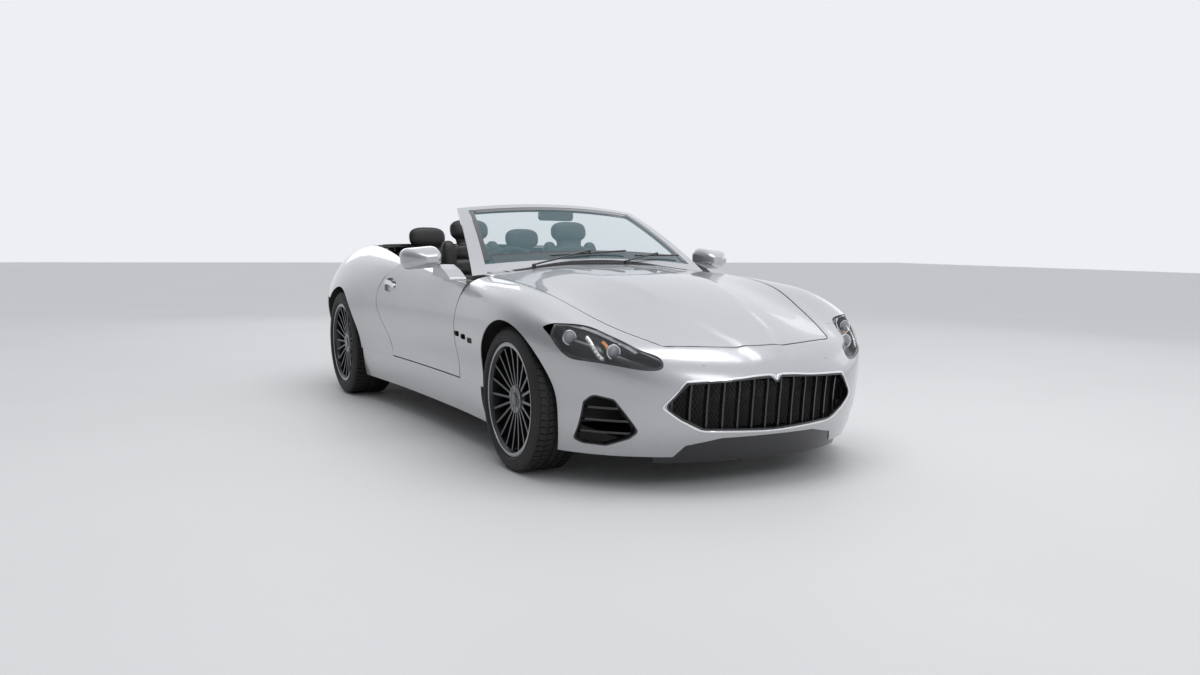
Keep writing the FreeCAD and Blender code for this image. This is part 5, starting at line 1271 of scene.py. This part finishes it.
def vent_slats(y):
    """Level slats that fill one vent's ring."""
    slats = Shape()
    for row in SLAT_HEIGHTS:
        reach = math.sqrt(SLAT_REACH**2 - row**2)
        line = [dash_at(y + reach * share, VENT_HEIGHT + row)[0] + BACKWARD * 0.003
                for share in (-1, -0.3, 0.3, 1)]
        slats.sweep(line, band_section(0.0055, 0.004, 0.0008), BACKWARD)
    return slats


for side in (-1, 1):
    tag = "l" if side > 0 else "r"
    y = DRIVER_Y + side * DIAL_OUT
    bezel(f"dial_ring_{tag}", y, DIAL_HEIGHT, 0.048, 0.006, 0.008, "bright_trim")
    bezel(f"dial_mark_{tag}", y, DIAL_HEIGHT, 0.034, 0.004, 0.003, "lamp_white")
    for k, y in enumerate(VENT_PLACES):
        bezel(f"vent_ring_{tag}{k}", side * y, VENT_HEIGHT, 0.040, 0.007, 0.010, "bright_trim")
        piece(f"vent_slats_{tag}{k}", vent_slats(side * y), "black_trim")
print("dials: 2, vents:", 2 * len(VENT_PLACES))

# %% Screen, glove lid and bright strip
patch("middle_screen", dash_at, (-0.105, 0.705), (0.105, 0.815), 8, 6, 0.006, "dark_glass")
patch("glove_lid", dash_at, (0.20, 0.625), (0.56, 0.715), 12, 6, 0.003, "cabin_leather")
line = [dash_at(0.115 + 0.045 * k, 0.725)[0] + BACKWARD * 0.001 for k in range(12)]
bright_line = Shape().sweep(line, band_section(0.008, 0.003, 0.0008), BACKWARD)
piece("dash_strip", bright_line, "bright_trim")
print("strip from y", round(line[0].y, 3), "to", round(line[-1].y, 3))

# %% Instrument hood
HOOD_HALF = 0.150
HOOD_FOOT = 0.835
HOOD_RISE = 0.068
HOOD_ARCHES = ((0.500, 0.000), (0.452, 0.004), (0.440, 0.000), (0.452, -0.006), (0.500, -0.010))

arches = []
for x, lift in HOOD_ARCHES:
    arch = []
    for k in range(25):
        angle = math.pi * k / 24
        arch.append(Vector((x, DRIVER_Y + HOOD_HALF * math.cos(angle),
                            HOOD_FOOT + lift + (HOOD_RISE + lift) * math.sin(angle))))
    arches.append(arch)
hood = Shape().rings([list(ring) for ring in zip(*arches)])
piece("instrument_hood", hood, "cabin_leather", crease=50)
print("hood arches:", len(arches))


# %% Console
def console_at(x, y):
    return meet(("console",), (x, y, 0.9), DOWN)


KEY_HALF = Vector((0.014, 0.018, 0))
KEY_SINK, KEY_HIGH = Vector((0, 0, 0.002)), Vector((0, 0, 0.007))
LEVER_STEPS = ((0, -0.002), (0.004, 0.05), (0.010, 0.10))

patch("switch_panel", console_at, (0.02, -0.075), (0.30, 0.075), 8, 4, 0.003, "black_trim")
patch("console_lid", console_at, (-0.55, -0.100), (-0.18, 0.100), 10, 6, 0.014, "cabin_leather")
keys = Shape()
for i in range(6):
    for side in (-1, 1):
        spot, _ = console_at(0.05 + 0.042 * i, side * 0.045)
        keys.box(spot - KEY_HALF + KEY_SINK, spot + KEY_HALF + KEY_HIGH)
piece("switch_keys", keys, "bright_steel", bevel=0.001)
foot, _ = console_at(-0.06, 0)
line = along([foot + Vector((x, 0, z)) for x, z in LEVER_STEPS], 10)
piece("selector_lever", Shape().sweep(line, disc_section(0.011, 16)), "bright_trim")
print("key faces:", len(keys.faces))
